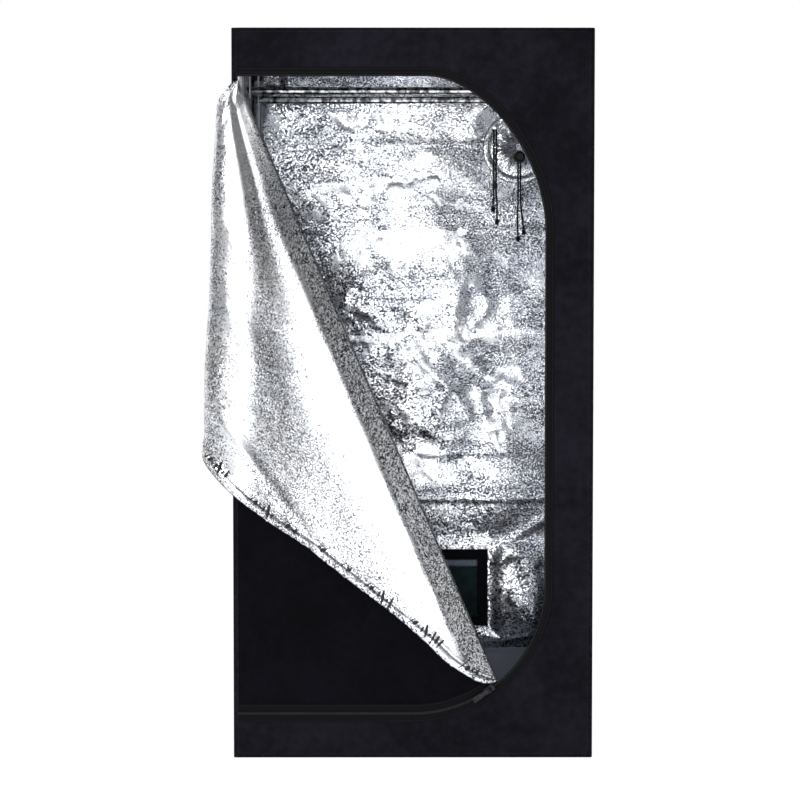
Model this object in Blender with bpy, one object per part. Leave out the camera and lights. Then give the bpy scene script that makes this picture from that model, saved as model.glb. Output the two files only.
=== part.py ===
"""Indoor grow tent: a soft cover over a steel pole frame, with its door unzipped and folded to the left.

The origin is the centre of the footprint on the floor. X runs to the right, Y to the back, Z up.
The front panel looks along -Y.
"""

import math

import bmesh
import bpy
from mathutils import Matrix, Vector

for leftover in list(bpy.data.objects):
    bpy.data.objects.remove(leftover, do_unlink=True)

# Driving dimensions of the cover
WIDTH = 0.600
DEPTH = 0.600
HEIGHT = 1.220
CLOTH = 0.0012
SEAT_GAP = 0.0003

# Door opening, measured along the zip's centre line
HINGE_INSET = 0.007
OPENING_TOP_DROP = 0.080
OPENING_BOTTOM = 0.075
OPENING_RIGHT_INSET = 0.080
UPPER_CORNER_RUN = 0.195
UPPER_CORNER_DROP = 0.250
UPPER_CORNER_POWER = 1.75
LOWER_CORNER_RADIUS = 0.220
TIP_ANGLE = math.radians(-49.3)

# Folded door
FLAP_CLOTH = 0.0015
ROLL_RADIUS = 0.008
ROLL_START_ANGLE = math.radians(-20.0)
FLAP_TOP_CUT = 0.012
FLAP_TIP_CUT = 0.016
PANEL_ROLL_CUT = 0.030
BULGE_DEPTH = 0.056
BULGE_BUILD_UP = 0.150
BULGE_BEHIND_TURN = 0.060
VALLEY_RISE = 0.006
TURN_AT_TOP = 0.0245
TURN_BUILD_UP = 0.025
TURN_GROWTH_SHARE = 0.0415
SIDE_STANDOFF = 0.012
SIDE_FIRST_RUN = 0.070
SIDE_LAST_RUN = 0.500
VALLEY_PLACE_SHARE = 0.52
TURN_DEPTH_SHARE = 0.42
NARROW_SHARE = 0.40
NEAR_WALL_SHARE = 0.80

# Zip
ZIP_TAPE_WIDTH = 0.015
ZIP_TAPE = 0.0008
COIL_HALF_WIDTH = 0.0035
COIL_HEIGHT = 0.0016
SLIDER_ANGLE = math.radians(-54.5)
SLIDER_LENGTH = 0.018
SLIDER_WALL = 0.0016
PULL_LENGTH = 0.032
PULL_WIDTH = 0.009
PULL_THICKNESS = 0.0018
PULL_PIN_RADIUS = 0.0012
PULL_HOLE_CLEARANCE = 0.0004
BAIL_HEIGHT = 0.0052
FLAP_TAPE_WIDTH = 0.010
FLAP_TAPE_GAP = 0.0011

# Frame
POLE_DIAMETER = 0.016
POLE_WALL = 0.001
COVER_SLACK = 0.0025
SOCKET_DEPTH = 0.028
SPIGOT_LENGTH = 0.040
BLOCK_EDGE = 0.0025
BLOCK_STEP = 0.0006

# Hanging bars
BAR_DIAMETER = 0.013
BAR_PLACE = 0.138
BAR_DROP = 0.094
HOOK_STRIP = 0.0016
HOOK_WIDTH = 0.024
HOOK_TIP_DROP = 0.004
HOOK_FOOT = 0.006
BAR_END_REACH = 0.004

# Duct port in the back wall
PORT_SIDE_INSET = 0.097
PORT_RADIUS = 0.055
PORT_FLANGE = 0.011
HEM_WIDTH = 0.009
HEM_DEPTH = 0.004
TAB_HALF_WIDTH = 0.006
TAB_HEIGHT = 0.010
TAB_PROUD = 0.0056
SLEEVE_CONE = 0.034
SLEEVE_NECK = 0.018
NECK_RADIUS = 0.007
NECK_BORE = 0.0016
PLEAT_DEPTH = 0.0034
NECK_PLEAT_SHARE = 0.25
CONE_MOUTH_POWER = 0.8
CONE_DEPTH_POWER = 1.6
LOCK_DROP = 0.1933
LOCK_RADIUS = 0.011
LOCK_LENGTH = 0.024
LOCK_FORWARD = 0.007
LOCK_WALL = 0.0018
LOCK_SHOULDER = 0.0022
LOCK_HANG = 0.0006
BUTTON_PROUD = 0.0075
BUTTON_TRAVEL = 0.0040
BUTTON_CLEARANCE = 0.0004
SPRING_WIRE_RADIUS = 0.0004
SPRING_RADIUS = 0.0052
STRAND_DIAMETER = 0.0030
STRAND_GAP = 0.0014
STRAND_HOLE_SLACK = 0.0012
KNOT_RADIUS = 0.0042
KNOT_HEIGHT = 0.0110
BEAD_RADIUS = 0.0050
BEAD_HEIGHT = 0.0100
BEAD_BELOW_PORT = 0.0703
RIM_STRING_ASIDE = 0.0440
RIM_STRING_RISE = 0.0347
RIM_STRING_PROUD = 0.0030
LEFT_STRING_HANG = 0.1577
RIGHT_STRING_HANG = 0.1457
RIM_LEFT_HANG = 0.1437
RIM_RIGHT_HANG = 0.1677

# Shares of each string's hang, sideways and down, at the points of its route
LEFT_STRING_SHARES = ((0, 0), (0, 0.30), (0, 0.56), (-0.004, 0.72), (-0.006, 0.87), (0.001, 1))
RIGHT_STRING_SHARES = ((0, 0), (0, 0.33), (0, 0.60), (0.011, 0.74), (0.030, 0.88), (0.043, 1))
RIM_LEFT_SHARES = ((0, 0), (0, 0.35), (0, 0.59), (0, 0.83), (-0.008, 0.94), (-0.008, 1))
RIM_RIGHT_SHARES = ((0, 0), (0, 0.30), (0, 0.50), (0, 0.71), (0.010, 0.80), (0.010, 1))

# Vent in the back wall
VENT_HALF_WIDTH = 0.147
VENT_BOTTOM = 0.136
VENT_TOP = 0.283
VENT_FRAME = 0.020
NET_STRAND = 0.0014
NET_THICKNESS = 0.0008
NET_MARGIN = 0.008
VENT_FLAP_MARGIN = 0.012

# Floor tray
TRAY_HEIGHT = 0.098
TRAY_WALL = 0.0016
TRAY_SLACK = 0.003

# Counts
POLE_SIDES = 12
SOCKET_SIDES = 16
CURVE_STEPS = 12
ARC_STEPS = 14
SLEEVE_SIDES = 40
CONE_STEPS = 5
SMOOTH_ANGLE = math.radians(40.0)
PLEATS = 10
FLAP_ROWS = 30
FLAP_COLUMNS = 16
ROLL_STEPS = 5
PLAN_STEPS = 20
SPRING_TURNS = 3
SPRING_STEPS = 12
SPRING_SIDES = 6
STRAND_POINTS = 20
KNOT_SIDES = 10
NET_COLUMNS = 10
NET_ROWS = 5

# Places worked out from the dimensions
FRONT = -DEPTH / 2
BACK = DEPTH / 2
SIDE = WIDTH / 2
HINGE_X = -SIDE + HINGE_INSET
OPENING_TOP = HEIGHT - OPENING_TOP_DROP
OPENING_RIGHT = SIDE - OPENING_RIGHT_INSET
TOP_RUN_END = OPENING_RIGHT - UPPER_CORNER_RUN
LOWER_CENTRE = Vector((OPENING_RIGHT - LOWER_CORNER_RADIUS, OPENING_BOTTOM + LOWER_CORNER_RADIUS))
POLE_RADIUS = POLE_DIAMETER / 2
SOCKET_RADIUS = POLE_RADIUS + COVER_SLACK - SEAT_GAP
POLE_INSET = CLOTH + COVER_SLACK + POLE_RADIUS
POLE_X = SIDE - POLE_INSET
POLE_Y = BACK - POLE_INSET
POLE_LOW = POLE_INSET
POLE_HIGH = HEIGHT - POLE_INSET
TAPE_FACE = FRONT - SEAT_GAP
COIL_FACE = TAPE_FACE - ZIP_TAPE - COIL_HEIGHT
BAR_LEVEL = HEIGHT - BAR_DROP
PORT_X = SIDE - PORT_SIDE_INSET
LOCK_LEVEL = HEIGHT - LOCK_DROP
PORT_LEVEL = LOCK_LEVEL + LOCK_RADIUS + LOCK_HANG + NECK_RADIUS
INNER_WALL_Y = BACK - CLOTH - SEAT_GAP
SLEEVE_BASE_Y = INNER_WALL_Y - CLOTH
NECK_END_Y = SLEEVE_BASE_Y - SLEEVE_CONE - SLEEVE_NECK
LOCK_Y = NECK_END_Y + LOCK_LENGTH / 2 - LOCK_FORWARD
STRAND_OFFSET = (STRAND_DIAMETER + STRAND_GAP) / 2
RIM_STRING_X = PORT_X - RIM_STRING_ASIDE
RIM_STRING_TOP = PORT_LEVEL + RIM_STRING_RISE
BEAD_LEVEL = PORT_LEVEL - BEAD_BELOW_PORT


def material(name, colour, roughness, metallic=0.0):
    made = bpy.data.materials.new(name)
    made.use_nodes = True
    shader = made.node_tree.nodes["Principled BSDF"]
    shader.inputs["Base Color"].default_value = (*colour, 1.0)
    shader.inputs["Roughness"].default_value = roughness
    shader.inputs["Metallic"].default_value = metallic
    return made


def placed(name, mesh, look, parent=None, at=None, smooth=False):
    """An object from a mesh in world coordinates, with its origin moved to the point at."""
    thing = bpy.data.objects.new(name, mesh)
    bpy.context.scene.collection.objects.link(thing)
    mesh.materials.clear()
    mesh.materials.append(look)
    if at is not None:
        mesh.transform(Matrix.Translation(-Vector(at)))
        thing.location = at
    if parent is not None:
        thing.parent = parent
        thing.matrix_parent_inverse = Matrix.Translation(-parent.location)
    if smooth:
        mesh.shade_smooth()
        mesh.set_sharp_from_angle(angle=SMOOTH_ANGLE)
    return thing


def empty(name, at):
    pivot = bpy.data.objects.new(name, None)
    pivot.location = at
    bpy.context.scene.collection.objects.link(pivot)
    return pivot


def closed_mesh(name, build):
    """A mesh from a bmesh that the function build fills, with its faces turned outwards."""
    shape = bmesh.new()
    build(shape)
    bmesh.ops.recalc_face_normals(shape, faces=shape.faces)
    mesh = bpy.data.meshes.new(name)
    shape.to_mesh(mesh)
    shape.free()
    return mesh


def box_mesh(name, low, high):
    def build(shape):
        made = bmesh.ops.create_cube(shape, size=1.0)["verts"]
        size = Vector(high) - Vector(low)
        middle = (Vector(high) + Vector(low)) / 2
        bmesh.ops.scale(shape, verts=made, vec=size)
        bmesh.ops.translate(shape, verts=made, vec=middle)
    return closed_mesh(name, build)


def plate_mesh(name, outline, near, far):
    """A plate with an outline in XZ, from y = near to y = far."""
    def build(shape):
        ring = [shape.verts.new((x, near, z)) for x, z in outline]
        face = shape.faces.new(ring)
        moved = bmesh.ops.extrude_face_region(shape, geom=[face])["geom"]
        verts = [item for item in moved if isinstance(item, bmesh.types.BMVert)]
        bmesh.ops.translate(shape, verts=verts, vec=(0, far - near, 0))
    return closed_mesh(name, build)


def loops_mesh(name, loops, around=False, capped=True):
    """A skin over matching loops of points. The loops also close on each other if around is set."""
    def build(shape):
        rings = [[shape.verts.new(point) for point in loop] for loop in loops]
        pairs = list(zip(rings, rings[1:]))
        if around:
            pairs.append((rings[-1], rings[0]))
        for first, second in pairs:
            count = len(first)
            for index in range(count):
                following = (index + 1) % count
                shape.faces.new((first[index], first[following], second[following], second[index]))
        if capped and not around:
            shape.faces.new(rings[0])
            shape.faces.new(rings[-1])
    return closed_mesh(name, build)


def sheet_mesh(name, loops):
    """A thin sheet in triangles. Each loop runs out along one side and back along the other.

    Both sides are split along the same diagonals, so they keep their distance where the sheet twists.
    """
    def build(shape):
        rings = [[shape.verts.new(point) for point in loop] for loop in loops]
        count = len(rings[0])
        half = count // 2
        for first, second in zip(rings, rings[1:]):
            for index in range(count):
                following = (index + 1) % count
                corners = [first[index], first[following], second[following], second[index]]
                if index >= half:
                    corners = [*corners[1:], corners[0]]
                shape.faces.new(corners[:3])
                shape.faces.new([corners[2], corners[3], corners[0]])
        for ring in (rings[0], rings[-1]):
            for index in range(half - 1):
                across = count - 1 - index
                shape.faces.new((ring[index], ring[index + 1], ring[across - 1], ring[across]))
    return closed_mesh(name, build)


def turned_mesh(name, profile, sides, axis_frame):
    """A closed profile of (radius, length) points turned into a ring about axis_frame's Z axis."""
    loops = []
    for step in range(sides):
        angle = 2 * math.pi * step / sides
        turn = Vector((math.cos(angle), math.sin(angle), 0))
        loops.append([axis_frame @ (turn * radius + Vector((0, 0, length))) for radius, length in profile])
    return loops_mesh(name, loops, around=True)


def rod_mesh(name, start, end, radius, sides):
    axis = Vector(end) - Vector(start)
    frame = Matrix.Translation(start) @ axis.to_track_quat("Z", "Y").to_matrix().to_4x4()
    loops = []
    for length in (0, axis.length):
        loops.append([
            frame @ Vector((radius * math.cos(angle), radius * math.sin(angle), length))
            for angle in (2 * math.pi * step / sides for step in range(sides))
        ])
    return loops_mesh(name, loops)


def combined(name, base, others, operation):
    """The base mesh joined with, or cut by, the other meshes, worked out with Boolean modifiers."""
    body = bpy.data.objects.new(name + "_base", base)
    bpy.context.scene.collection.objects.link(body)
    helpers = []
    for other in others:
        helper = bpy.data.objects.new(name + "_helper", other)
        bpy.context.scene.collection.objects.link(helper)
        helpers.append(helper)
        step = body.modifiers.new("combine", "BOOLEAN")
        step.operation = operation
        step.solver = "EXACT"
        step.object = helper
    graph = bpy.context.evaluated_depsgraph_get()
    mesh = bpy.data.meshes.new_from_object(body.evaluated_get(graph))
    mesh.name = name
    for thing in [body, *helpers]:
        bpy.data.objects.remove(thing, do_unlink=True)
    return mesh


def smooth_route(points, steps):
    """Points on a Catmull-Rom curve through the given ones."""
    padded = [2 * points[0] - points[1], *points, 2 * points[-1] - points[-2]]
    route = []
    for index in range(1, len(padded) - 2):
        before, start, end, after = padded[index - 1:index + 3]
        for step in range(steps):
            t = step / steps
            route.append(0.5 * (
                2 * start + (end - before) * t
                + (2 * before - 5 * start + 4 * end - after) * t ** 2
                + (3 * start - before - 3 * end + after) * t ** 3
            ))
    route.append(points[-1])
    return route


def spaced(route, count):
    """The route's points set at equal steps of length."""
    lengths = [0.0]
    for first, second in zip(route, route[1:]):
        lengths.append(lengths[-1] + (second - first).length)
    result = []
    index = 0
    for step in range(count):
        target = lengths[-1] * step / (count - 1)
        while index < len(route) - 2 and lengths[index + 1] < target:
            index += 1
        span = lengths[index + 1] - lengths[index]
        share = (target - lengths[index]) / span
        result.append(route[index].lerp(route[index + 1], share))
    return result


# Materials
oxford = material("black_oxford", (0.010, 0.010, 0.013), 0.62)
foil = material("silver_foil", (0.80, 0.81, 0.83), 0.28, 0.9)
tape_black = material("black_tape", (0.006, 0.006, 0.007), 0.70)
coil_black = material("black_coil", (0.010, 0.010, 0.011), 0.42)
steel = material("grey_pole", (0.48, 0.50, 0.53), 0.38, 0.8)
zinc = material("dark_zinc", (0.12, 0.12, 0.13), 0.34, 0.9)
corner_plastic = material("corner_plastic", (0.015, 0.015, 0.017), 0.45)
lock_plastic = material("lock_plastic", (0.010, 0.010, 0.011), 0.32)
spring_steel = material("spring_steel", (0.55, 0.55, 0.56), 0.28, 1.0)
cord_black = material("black_cord", (0.012, 0.012, 0.013), 0.80)
net_black = material("black_net", (0.010, 0.014, 0.013), 0.55)
tray_film = material("tray_film", (0.32, 0.33, 0.35), 0.35, 0.7)


# Door outline
def upper_corner():
    """The upper right corner, a superellipse quarter from the top run to the right edge."""
    points = []
    across = OPENING_RIGHT - TOP_RUN_END
    for step in range(CURVE_STEPS + 1):
        angle = math.pi / 2 * (1 - step / CURVE_STEPS)
        x = TOP_RUN_END + across * max(math.cos(angle), 0) ** (2 / UPPER_CORNER_POWER)
        z = OPENING_TOP - UPPER_CORNER_DROP * (1 - max(math.sin(angle), 0) ** (2 / UPPER_CORNER_POWER))
        points.append(Vector((x, z)))
    return points


def lower_arc(start, end, steps):
    """Points on the lower right corner's circle between two angles."""
    angles = [start + (end - start) * step / steps for step in range(steps + 1)]
    return [LOWER_CENTRE + LOWER_CORNER_RADIUS * Vector((math.cos(a), math.sin(a))) for a in angles]


top_left = Vector((HINGE_X, OPENING_TOP))
bottom_left = Vector((HINGE_X, OPENING_BOTTOM))
arc_to_tip = lower_arc(0, TIP_ANGLE, ARC_STEPS)
arc_after_tip = lower_arc(TIP_ANGLE, -math.pi / 2, ARC_STEPS)
open_edge = [top_left, *upper_corner(), *arc_to_tip]
closed_edge = [*arc_after_tip, bottom_left]
tip = arc_to_tip[-1]

# Fold line, from the door's top left corner to the slider's tip
FOLD_LENGTH = (tip - top_left).length
FOLD_ALONG = (tip - top_left).normalized()
FOLD_ACROSS = Vector((-FOLD_ALONG.y, FOLD_ALONG.x))
ROLL_REACH = ROLL_RADIUS / FOLD_ACROSS.x
INNER_ROLL = ROLL_RADIUS - (CLOTH + FLAP_CLOTH) / 2 - SEAT_GAP
ROLL_CENTRE_Y = FRONT + CLOTH / 2 - ROLL_RADIUS


def inward(edge, distance):
    """An open outline moved sideways by a distance, to the right of its direction of travel."""
    moved = []
    for index, point in enumerate(edge):
        before = edge[max(index - 1, 0)]
        after = edge[min(index + 1, len(edge) - 1)]
        into = (point - before).normalized() if index else (after - point).normalized()
        out = (after - point).normalized() if index < len(edge) - 1 else into
        side = Vector((into.y + out.y, -into.x - out.x)).normalized()
        stretch = max(side.dot(Vector((into.y, -into.x))), 0.5)
        moved.append(point + side * distance / stretch)
    return moved


def strip_mesh(name, edge, sections):
    """A strip along an outline in the front plane. Each section point is (inward distance, y)."""
    rows = {distance: inward(edge, distance) for distance, _ in sections}
    loops = []
    for index in range(len(edge)):
        loops.append([Vector((rows[d][index].x, y, rows[d][index].y)) for d, y in sections])
    return loops_mesh(name, loops)


# Cover panels
def cover():
    wall_low = CLOTH + SEAT_GAP
    wall_high = HEIGHT - wall_low
    side_front = FRONT + wall_low
    side_back = BACK - wall_low
    placed("floor_panel", box_mesh("floor_panel", (-SIDE, FRONT, 0), (SIDE, BACK, CLOTH)), oxford)
    roof = box_mesh("roof_panel", (-SIDE, FRONT, HEIGHT - CLOTH), (SIDE, BACK, HEIGHT))
    placed("roof_panel", roof, oxford)
    for name, outer, inner in (("left_wall", -SIDE, -SIDE + CLOTH), ("right_wall", SIDE - CLOTH, SIDE)):
        placed(name, box_mesh(name, (outer, side_front, wall_low), (inner, side_back, wall_high)), oxford)

    blank = box_mesh("front_blank", (-SIDE, FRONT, wall_low), (SIDE, FRONT + CLOTH, wall_high))
    door_edge = [*open_edge, *closed_edge[1:]]
    cutter = plate_mesh("door_cut", door_edge, FRONT - CLOTH, FRONT + CLOTH + CLOTH)
    placed("front_panel", combined("front_panel", blank, [cutter], "DIFFERENCE"), oxford)

    back_blank = box_mesh("back_blank", (-SIDE, BACK - CLOTH, wall_low), (SIDE, BACK, wall_high))
    inside = Vector((PORT_X, BACK - CLOTH - CLOTH, PORT_LEVEL))
    outside = Vector((PORT_X, BACK + CLOTH, PORT_LEVEL))
    port_cut = rod_mesh("port_cut", inside, outside, PORT_RADIUS, SLEEVE_SIDES)
    low = (-VENT_HALF_WIDTH + VENT_FRAME, BACK - CLOTH - CLOTH, VENT_BOTTOM + VENT_FRAME)
    high = (VENT_HALF_WIDTH - VENT_FRAME, BACK + CLOTH, VENT_TOP - VENT_FRAME)
    vent_cut = box_mesh("vent_cut", low, high)
    back = combined("back_wall", back_blank, [port_cut, vent_cut], "DIFFERENCE")
    placed("back_wall", back, oxford)


# Poles and corner connectors
def tube(name, start, end, look):
    axis = Vector(end) - Vector(start)
    frame = Matrix.Translation(start) @ axis.to_track_quat("Z", "Y").to_matrix().to_4x4()
    inner = POLE_RADIUS - POLE_WALL
    profile = [(inner, 0), (POLE_RADIUS, 0), (POLE_RADIUS, axis.length), (inner, axis.length)]
    placed(name, turned_mesh(name, profile, POLE_SIDES, frame), look, smooth=True)


def frame_poles():
    reach = SOCKET_RADIUS + SEAT_GAP
    middle = (POLE_LOW + POLE_HIGH) / 2
    inner = POLE_RADIUS - POLE_WALL
    spigot = inner - SEAT_GAP
    spigot_bore = spigot - POLE_WALL
    for side_name, x in (("left", -POLE_X), ("right", POLE_X)):
        for end_name, y in (("front", -POLE_Y), ("rear", POLE_Y)):
            place = f"{end_name}_{side_name}"
            tube(f"{place}_lower_upright", (x, y, POLE_LOW + reach), (x, y, middle), steel)
            shoulder = middle + SEAT_GAP
            top = POLE_HIGH - reach
            profile = [
                (spigot_bore, shoulder - SPIGOT_LENGTH), (spigot, shoulder - SPIGOT_LENGTH),
                (spigot, shoulder), (POLE_RADIUS, shoulder),
                (POLE_RADIUS, top), (inner, top),
                (inner, shoulder + SPIGOT_LENGTH), (spigot_bore, shoulder + SPIGOT_LENGTH),
            ]
            name = f"{place}_upper_upright"
            stand = Matrix.Translation((x, y, 0))
            placed(name, turned_mesh(name, profile, POLE_SIDES, stand), steel, smooth=True)
    for level_name, z in (("bottom", POLE_LOW), ("top", POLE_HIGH)):
        for end_name, y in (("front", -POLE_Y), ("rear", POLE_Y)):
            tube(f"{level_name}_{end_name}_pole", (-POLE_X + reach, y, z), (POLE_X - reach, y, z), steel)
        for side_name, x in (("left", -POLE_X), ("right", POLE_X)):
            tube(f"{level_name}_{side_name}_pole", (x, -POLE_Y + reach, z), (x, POLE_Y - reach, z), steel)


def connector_mesh():
    """Three blind sockets that meet at a block, open along +X, +Y and +Z."""
    def block(shape):
        made = bmesh.ops.create_cube(shape, size=2 * SOCKET_RADIUS)
        edges = list({edge for vert in made["verts"] for edge in vert.link_edges})
        bmesh.ops.bevel(shape, geom=edges, offset=BLOCK_EDGE, segments=1, profile=0.5, affect="EDGES")
    core = closed_mesh("core", block)
    directions = (Vector((1, 0, 0)), Vector((0, 1, 0)), Vector((0, 0, 1)))
    end = SOCKET_RADIUS + SOCKET_DEPTH
    overrun = SOCKET_RADIUS
    centre = Vector((0, 0, 0))
    arm_radius = SOCKET_RADIUS - BLOCK_STEP
    arms = [rod_mesh("arm", centre, way * end, arm_radius, SOCKET_SIDES) for way in directions]
    bore = POLE_RADIUS + SEAT_GAP
    bores = [
        rod_mesh("bore", way * SOCKET_RADIUS, way * (end + overrun), bore, SOCKET_SIDES)
        for way in directions
    ]
    return combined("corner", combined("corner_body", core, arms, "UNION"), bores, "DIFFERENCE")


def corner_connectors():
    shared = connector_mesh()
    quarter = math.pi / 2
    corners = (
        ("front_left", -1, -1, 0), ("front_right", 1, -1, 1),
        ("rear_right", 1, 1, 2), ("rear_left", -1, 1, 3),
    )
    for name, right, back, turns in corners:
        spot = Vector((right * POLE_X, back * POLE_Y, POLE_LOW))
        low = shared.copy()
        low.transform(Matrix.Translation(spot) @ Matrix.Rotation(turns * quarter, 4, "Z"))
        placed(f"bottom_{name}_corner", low, corner_plastic, at=spot, smooth=True)
        spot = Vector((right * POLE_X, back * POLE_Y, POLE_HIGH))
        high = shared.copy()
        tipped = Matrix.Rotation((turns + 1) * quarter, 4, "Z") @ Matrix.Rotation(2 * quarter, 4, "X")
        high.transform(Matrix.Translation(spot) @ tipped)
        placed(f"top_{name}_corner", high, corner_plastic, at=spot, smooth=True)


# Hanging bars
def hook_outline(side):
    """A strip that bends over the side pole, then hangs down past the bar, in XZ."""
    inner = POLE_RADIUS + SEAT_GAP
    outer = inner + HOOK_STRIP
    centre = Vector((side * POLE_X, POLE_HIGH))
    steps = POLE_SIDES // 2
    turn = [math.pi * step / steps for step in range(steps + 1)]
    over = [centre + Vector((side * outer * math.cos(a), outer * math.sin(a))) for a in turn]
    under = [centre + Vector((side * inner * math.cos(a), inner * math.sin(a))) for a in turn]
    foot = BAR_LEVEL - BAR_DIAMETER / 2 - HOOK_FOOT
    lip = POLE_HIGH - HOOK_TIP_DROP
    outline = [Vector((centre.x + side * outer, lip)), *over, Vector((centre.x - side * outer, foot))]
    outline += [Vector((centre.x - side * inner, foot)), *reversed(under)]
    outline.append(Vector((centre.x + side * inner, lip)))
    return outline


def hanging_bar(name, place):
    pivot = empty(f"{name}_slide", (0, place, POLE_HIGH))
    bar_radius = BAR_DIAMETER / 2
    strip_x = POLE_X - POLE_RADIUS - SEAT_GAP
    end = strip_x + BAR_END_REACH
    inner = bar_radius - POLE_WALL
    frame = Matrix.Translation((-end, place, BAR_LEVEL)) @ Matrix.Rotation(math.pi / 2, 4, "Y")
    profile = [(inner, 0), (bar_radius, 0), (bar_radius, 2 * end), (inner, 2 * end)]
    placed(name, turned_mesh(name, profile, POLE_SIDES, frame), steel, parent=pivot, smooth=True)
    for side_name, side in (("left", -1), ("right", 1)):
        hook = f"{name}_{side_name}_hook"
        near = place - HOOK_WIDTH / 2
        blank = plate_mesh("hook_blank", hook_outline(side), near, near + HOOK_WIDTH)
        low = Vector((side * (strip_x - HOOK_STRIP - HOOK_STRIP), place, BAR_LEVEL))
        high = Vector((side * (strip_x + HOOK_STRIP), place, BAR_LEVEL))
        hole = rod_mesh("hook_hole", low, high, bar_radius + SEAT_GAP, SOCKET_SIDES)
        placed(hook, combined(hook, blank, [hole], "DIFFERENCE"), zinc, parent=pivot)


# Zipped part of the door, with the outer quarter of the roll
def door_panel():
    near = FRONT
    far = FRONT + CLOTH
    edge = inward([tip, *closed_edge[1:], top_left], SEAT_GAP)
    top = top_left + FOLD_ALONG * PANEL_ROLL_CUT
    bottom = top_left + FOLD_ALONG * (FOLD_LENGTH - ZIP_TAPE_WIDTH - FLAP_TIP_CUT)
    roll_top = top - Vector((ROLL_REACH, 0))
    roll_bottom = bottom - Vector((ROLL_REACH, 0))
    tip_inner = edge[0] - FOLD_ALONG * SEAT_GAP
    hinge = HINGE_X + SEAT_GAP
    top_corner = Vector((hinge, roll_top.y + ROLL_REACH))
    outline = [roll_top, roll_bottom, tip_inner - Vector((ROLL_REACH, 0)), *edge[1:-1], top_corner]

    def build(shape):
        front = [shape.verts.new((p.x, near, p.y)) for p in outline]
        back = [shape.verts.new((p.x, far, p.y)) for p in outline]
        shape.faces.new(front)
        shape.faces.new(back)
        count = len(outline)
        for index in range(1, count):
            following = (index + 1) % count
            shape.faces.new((front[index], front[following], back[following], back[index]))
        outer = [back[0], back[1]]
        inner = [front[0], front[1]]
        for step in range(1, ROLL_STEPS + 1):
            angle = math.pi / 2 * step / ROLL_STEPS
            made = []
            for thick in (CLOTH / 2, -CLOTH / 2):
                reach = ROLL_REACH + thick
                lift = ROLL_RADIUS + thick
                row = []
                for spot in (roll_top, roll_bottom):
                    x = spot.x + reach * math.sin(angle)
                    y = ROLL_CENTRE_Y + lift * math.cos(angle)
                    row.append(shape.verts.new((x, y, spot.y)))
                made.append(row)
            new_outer, new_inner = made
            shape.faces.new((outer[0], outer[1], new_outer[1], new_outer[0]))
            shape.faces.new((inner[0], inner[1], new_inner[1], new_inner[0]))
            for end in (0, 1):
                shape.faces.new((outer[end], new_outer[end], new_inner[end], inner[end]))
            outer, inner = new_outer, new_inner
        shape.faces.new((outer[0], outer[1], inner[1], inner[0]))
    placed("door_panel", closed_mesh("door_panel", build), oxford)


# Folded part of the door
def fold_x(z):
    """The fold line's X at a height."""
    return top_left.x + (top_left.y - z) * FOLD_ALONG.x / -FOLD_ALONG.y


def plan_curve(z):
    """The folded cloth's path seen from above at a height, from the roll round to the tent's left side."""
    below = max(top_left.y - z, 0)
    centre_x = fold_x(z) - ROLL_REACH
    roll_end = Vector((centre_x, ROLL_CENTRE_Y - INNER_ROLL))
    turn = TURN_AT_TOP + TURN_GROWTH_SHARE * below
    turn *= 1 - math.exp(-(below + SEAT_GAP) / TURN_BUILD_UP)
    turn_x = -SIDE - turn
    bulge = BULGE_DEPTH * (1 - math.exp(-below / BULGE_BUILD_UP))
    behind = min(BULGE_BEHIND_TURN, NARROW_SHARE * (centre_x - turn_x))
    crest = Vector((turn_x + behind, roll_end.y - bulge))
    valley_x = crest.x + (roll_end.x - crest.x) * VALLEY_PLACE_SHARE
    valley = Vector((valley_x, roll_end.y - min(VALLEY_RISE, NARROW_SHARE * bulge)))
    side_x = -SIDE - min(SIDE_STANDOFF, NEAR_WALL_SHARE * turn)
    turn_point = Vector((turn_x, FRONT - TURN_DEPTH_SHARE * bulge))
    first_side = Vector((side_x, FRONT + SIDE_FIRST_RUN))
    last_side = Vector((side_x, FRONT + SIDE_LAST_RUN))
    points = []
    arc_end = math.pi / 2
    for step in range(ROLL_STEPS + 1):
        angle = ROLL_START_ANGLE + (arc_end - ROLL_START_ANGLE) * step / ROLL_STEPS
        x = centre_x + INNER_ROLL / FOLD_ACROSS.x * math.cos(angle)
        y = ROLL_CENTRE_Y - INNER_ROLL * math.sin(angle)
        points.append(Vector((x, y)))
    points += smooth_route([roll_end, valley, crest, turn_point, first_side, last_side], PLAN_STEPS)[1:]
    return points


PLAN_CACHE = {}


def cloth_middle(x_flat, z_flat):
    """Where a point of the door, mirrored flat over the fold line, lies once the cloth is bent."""
    if z_flat not in PLAN_CACHE:
        points = plan_curve(z_flat)
        lengths = [0.0]
        for first, second in zip(points, points[1:]):
            lengths.append(lengths[-1] + (second - first).length)
        PLAN_CACHE[z_flat] = (points, lengths)
    points, lengths = PLAN_CACHE[z_flat]
    target = fold_x(z_flat) - x_flat - ROLL_START_ANGLE * INNER_ROLL
    index = 0
    while index < len(points) - 2 and lengths[index + 1] < target:
        index += 1
    share = (target - lengths[index]) / (lengths[index + 1] - lengths[index])
    spot = points[index].lerp(points[index + 1], share)
    return Vector((spot.x, spot.y, z_flat))


def flat_point(along, across):
    """A point of the mirrored flat door, from its distances along and across the fold line."""
    spot = top_left + FOLD_ALONG * along - FOLD_ACROSS * across
    return spot.x, spot.y


def cloth_point(along, across, lift):
    """A point on the folded cloth, lifted off its middle to the seen side."""
    probe = CLOTH
    here = cloth_middle(*flat_point(along, across))
    outer = cloth_middle(*flat_point(along, across + probe))
    inner = cloth_middle(*flat_point(along, across - probe))
    later = cloth_middle(*flat_point(along + probe, across))
    earlier = cloth_middle(*flat_point(along - probe, across))
    normal = (later - earlier).cross(outer - inner).normalized()
    return here - normal * lift


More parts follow.
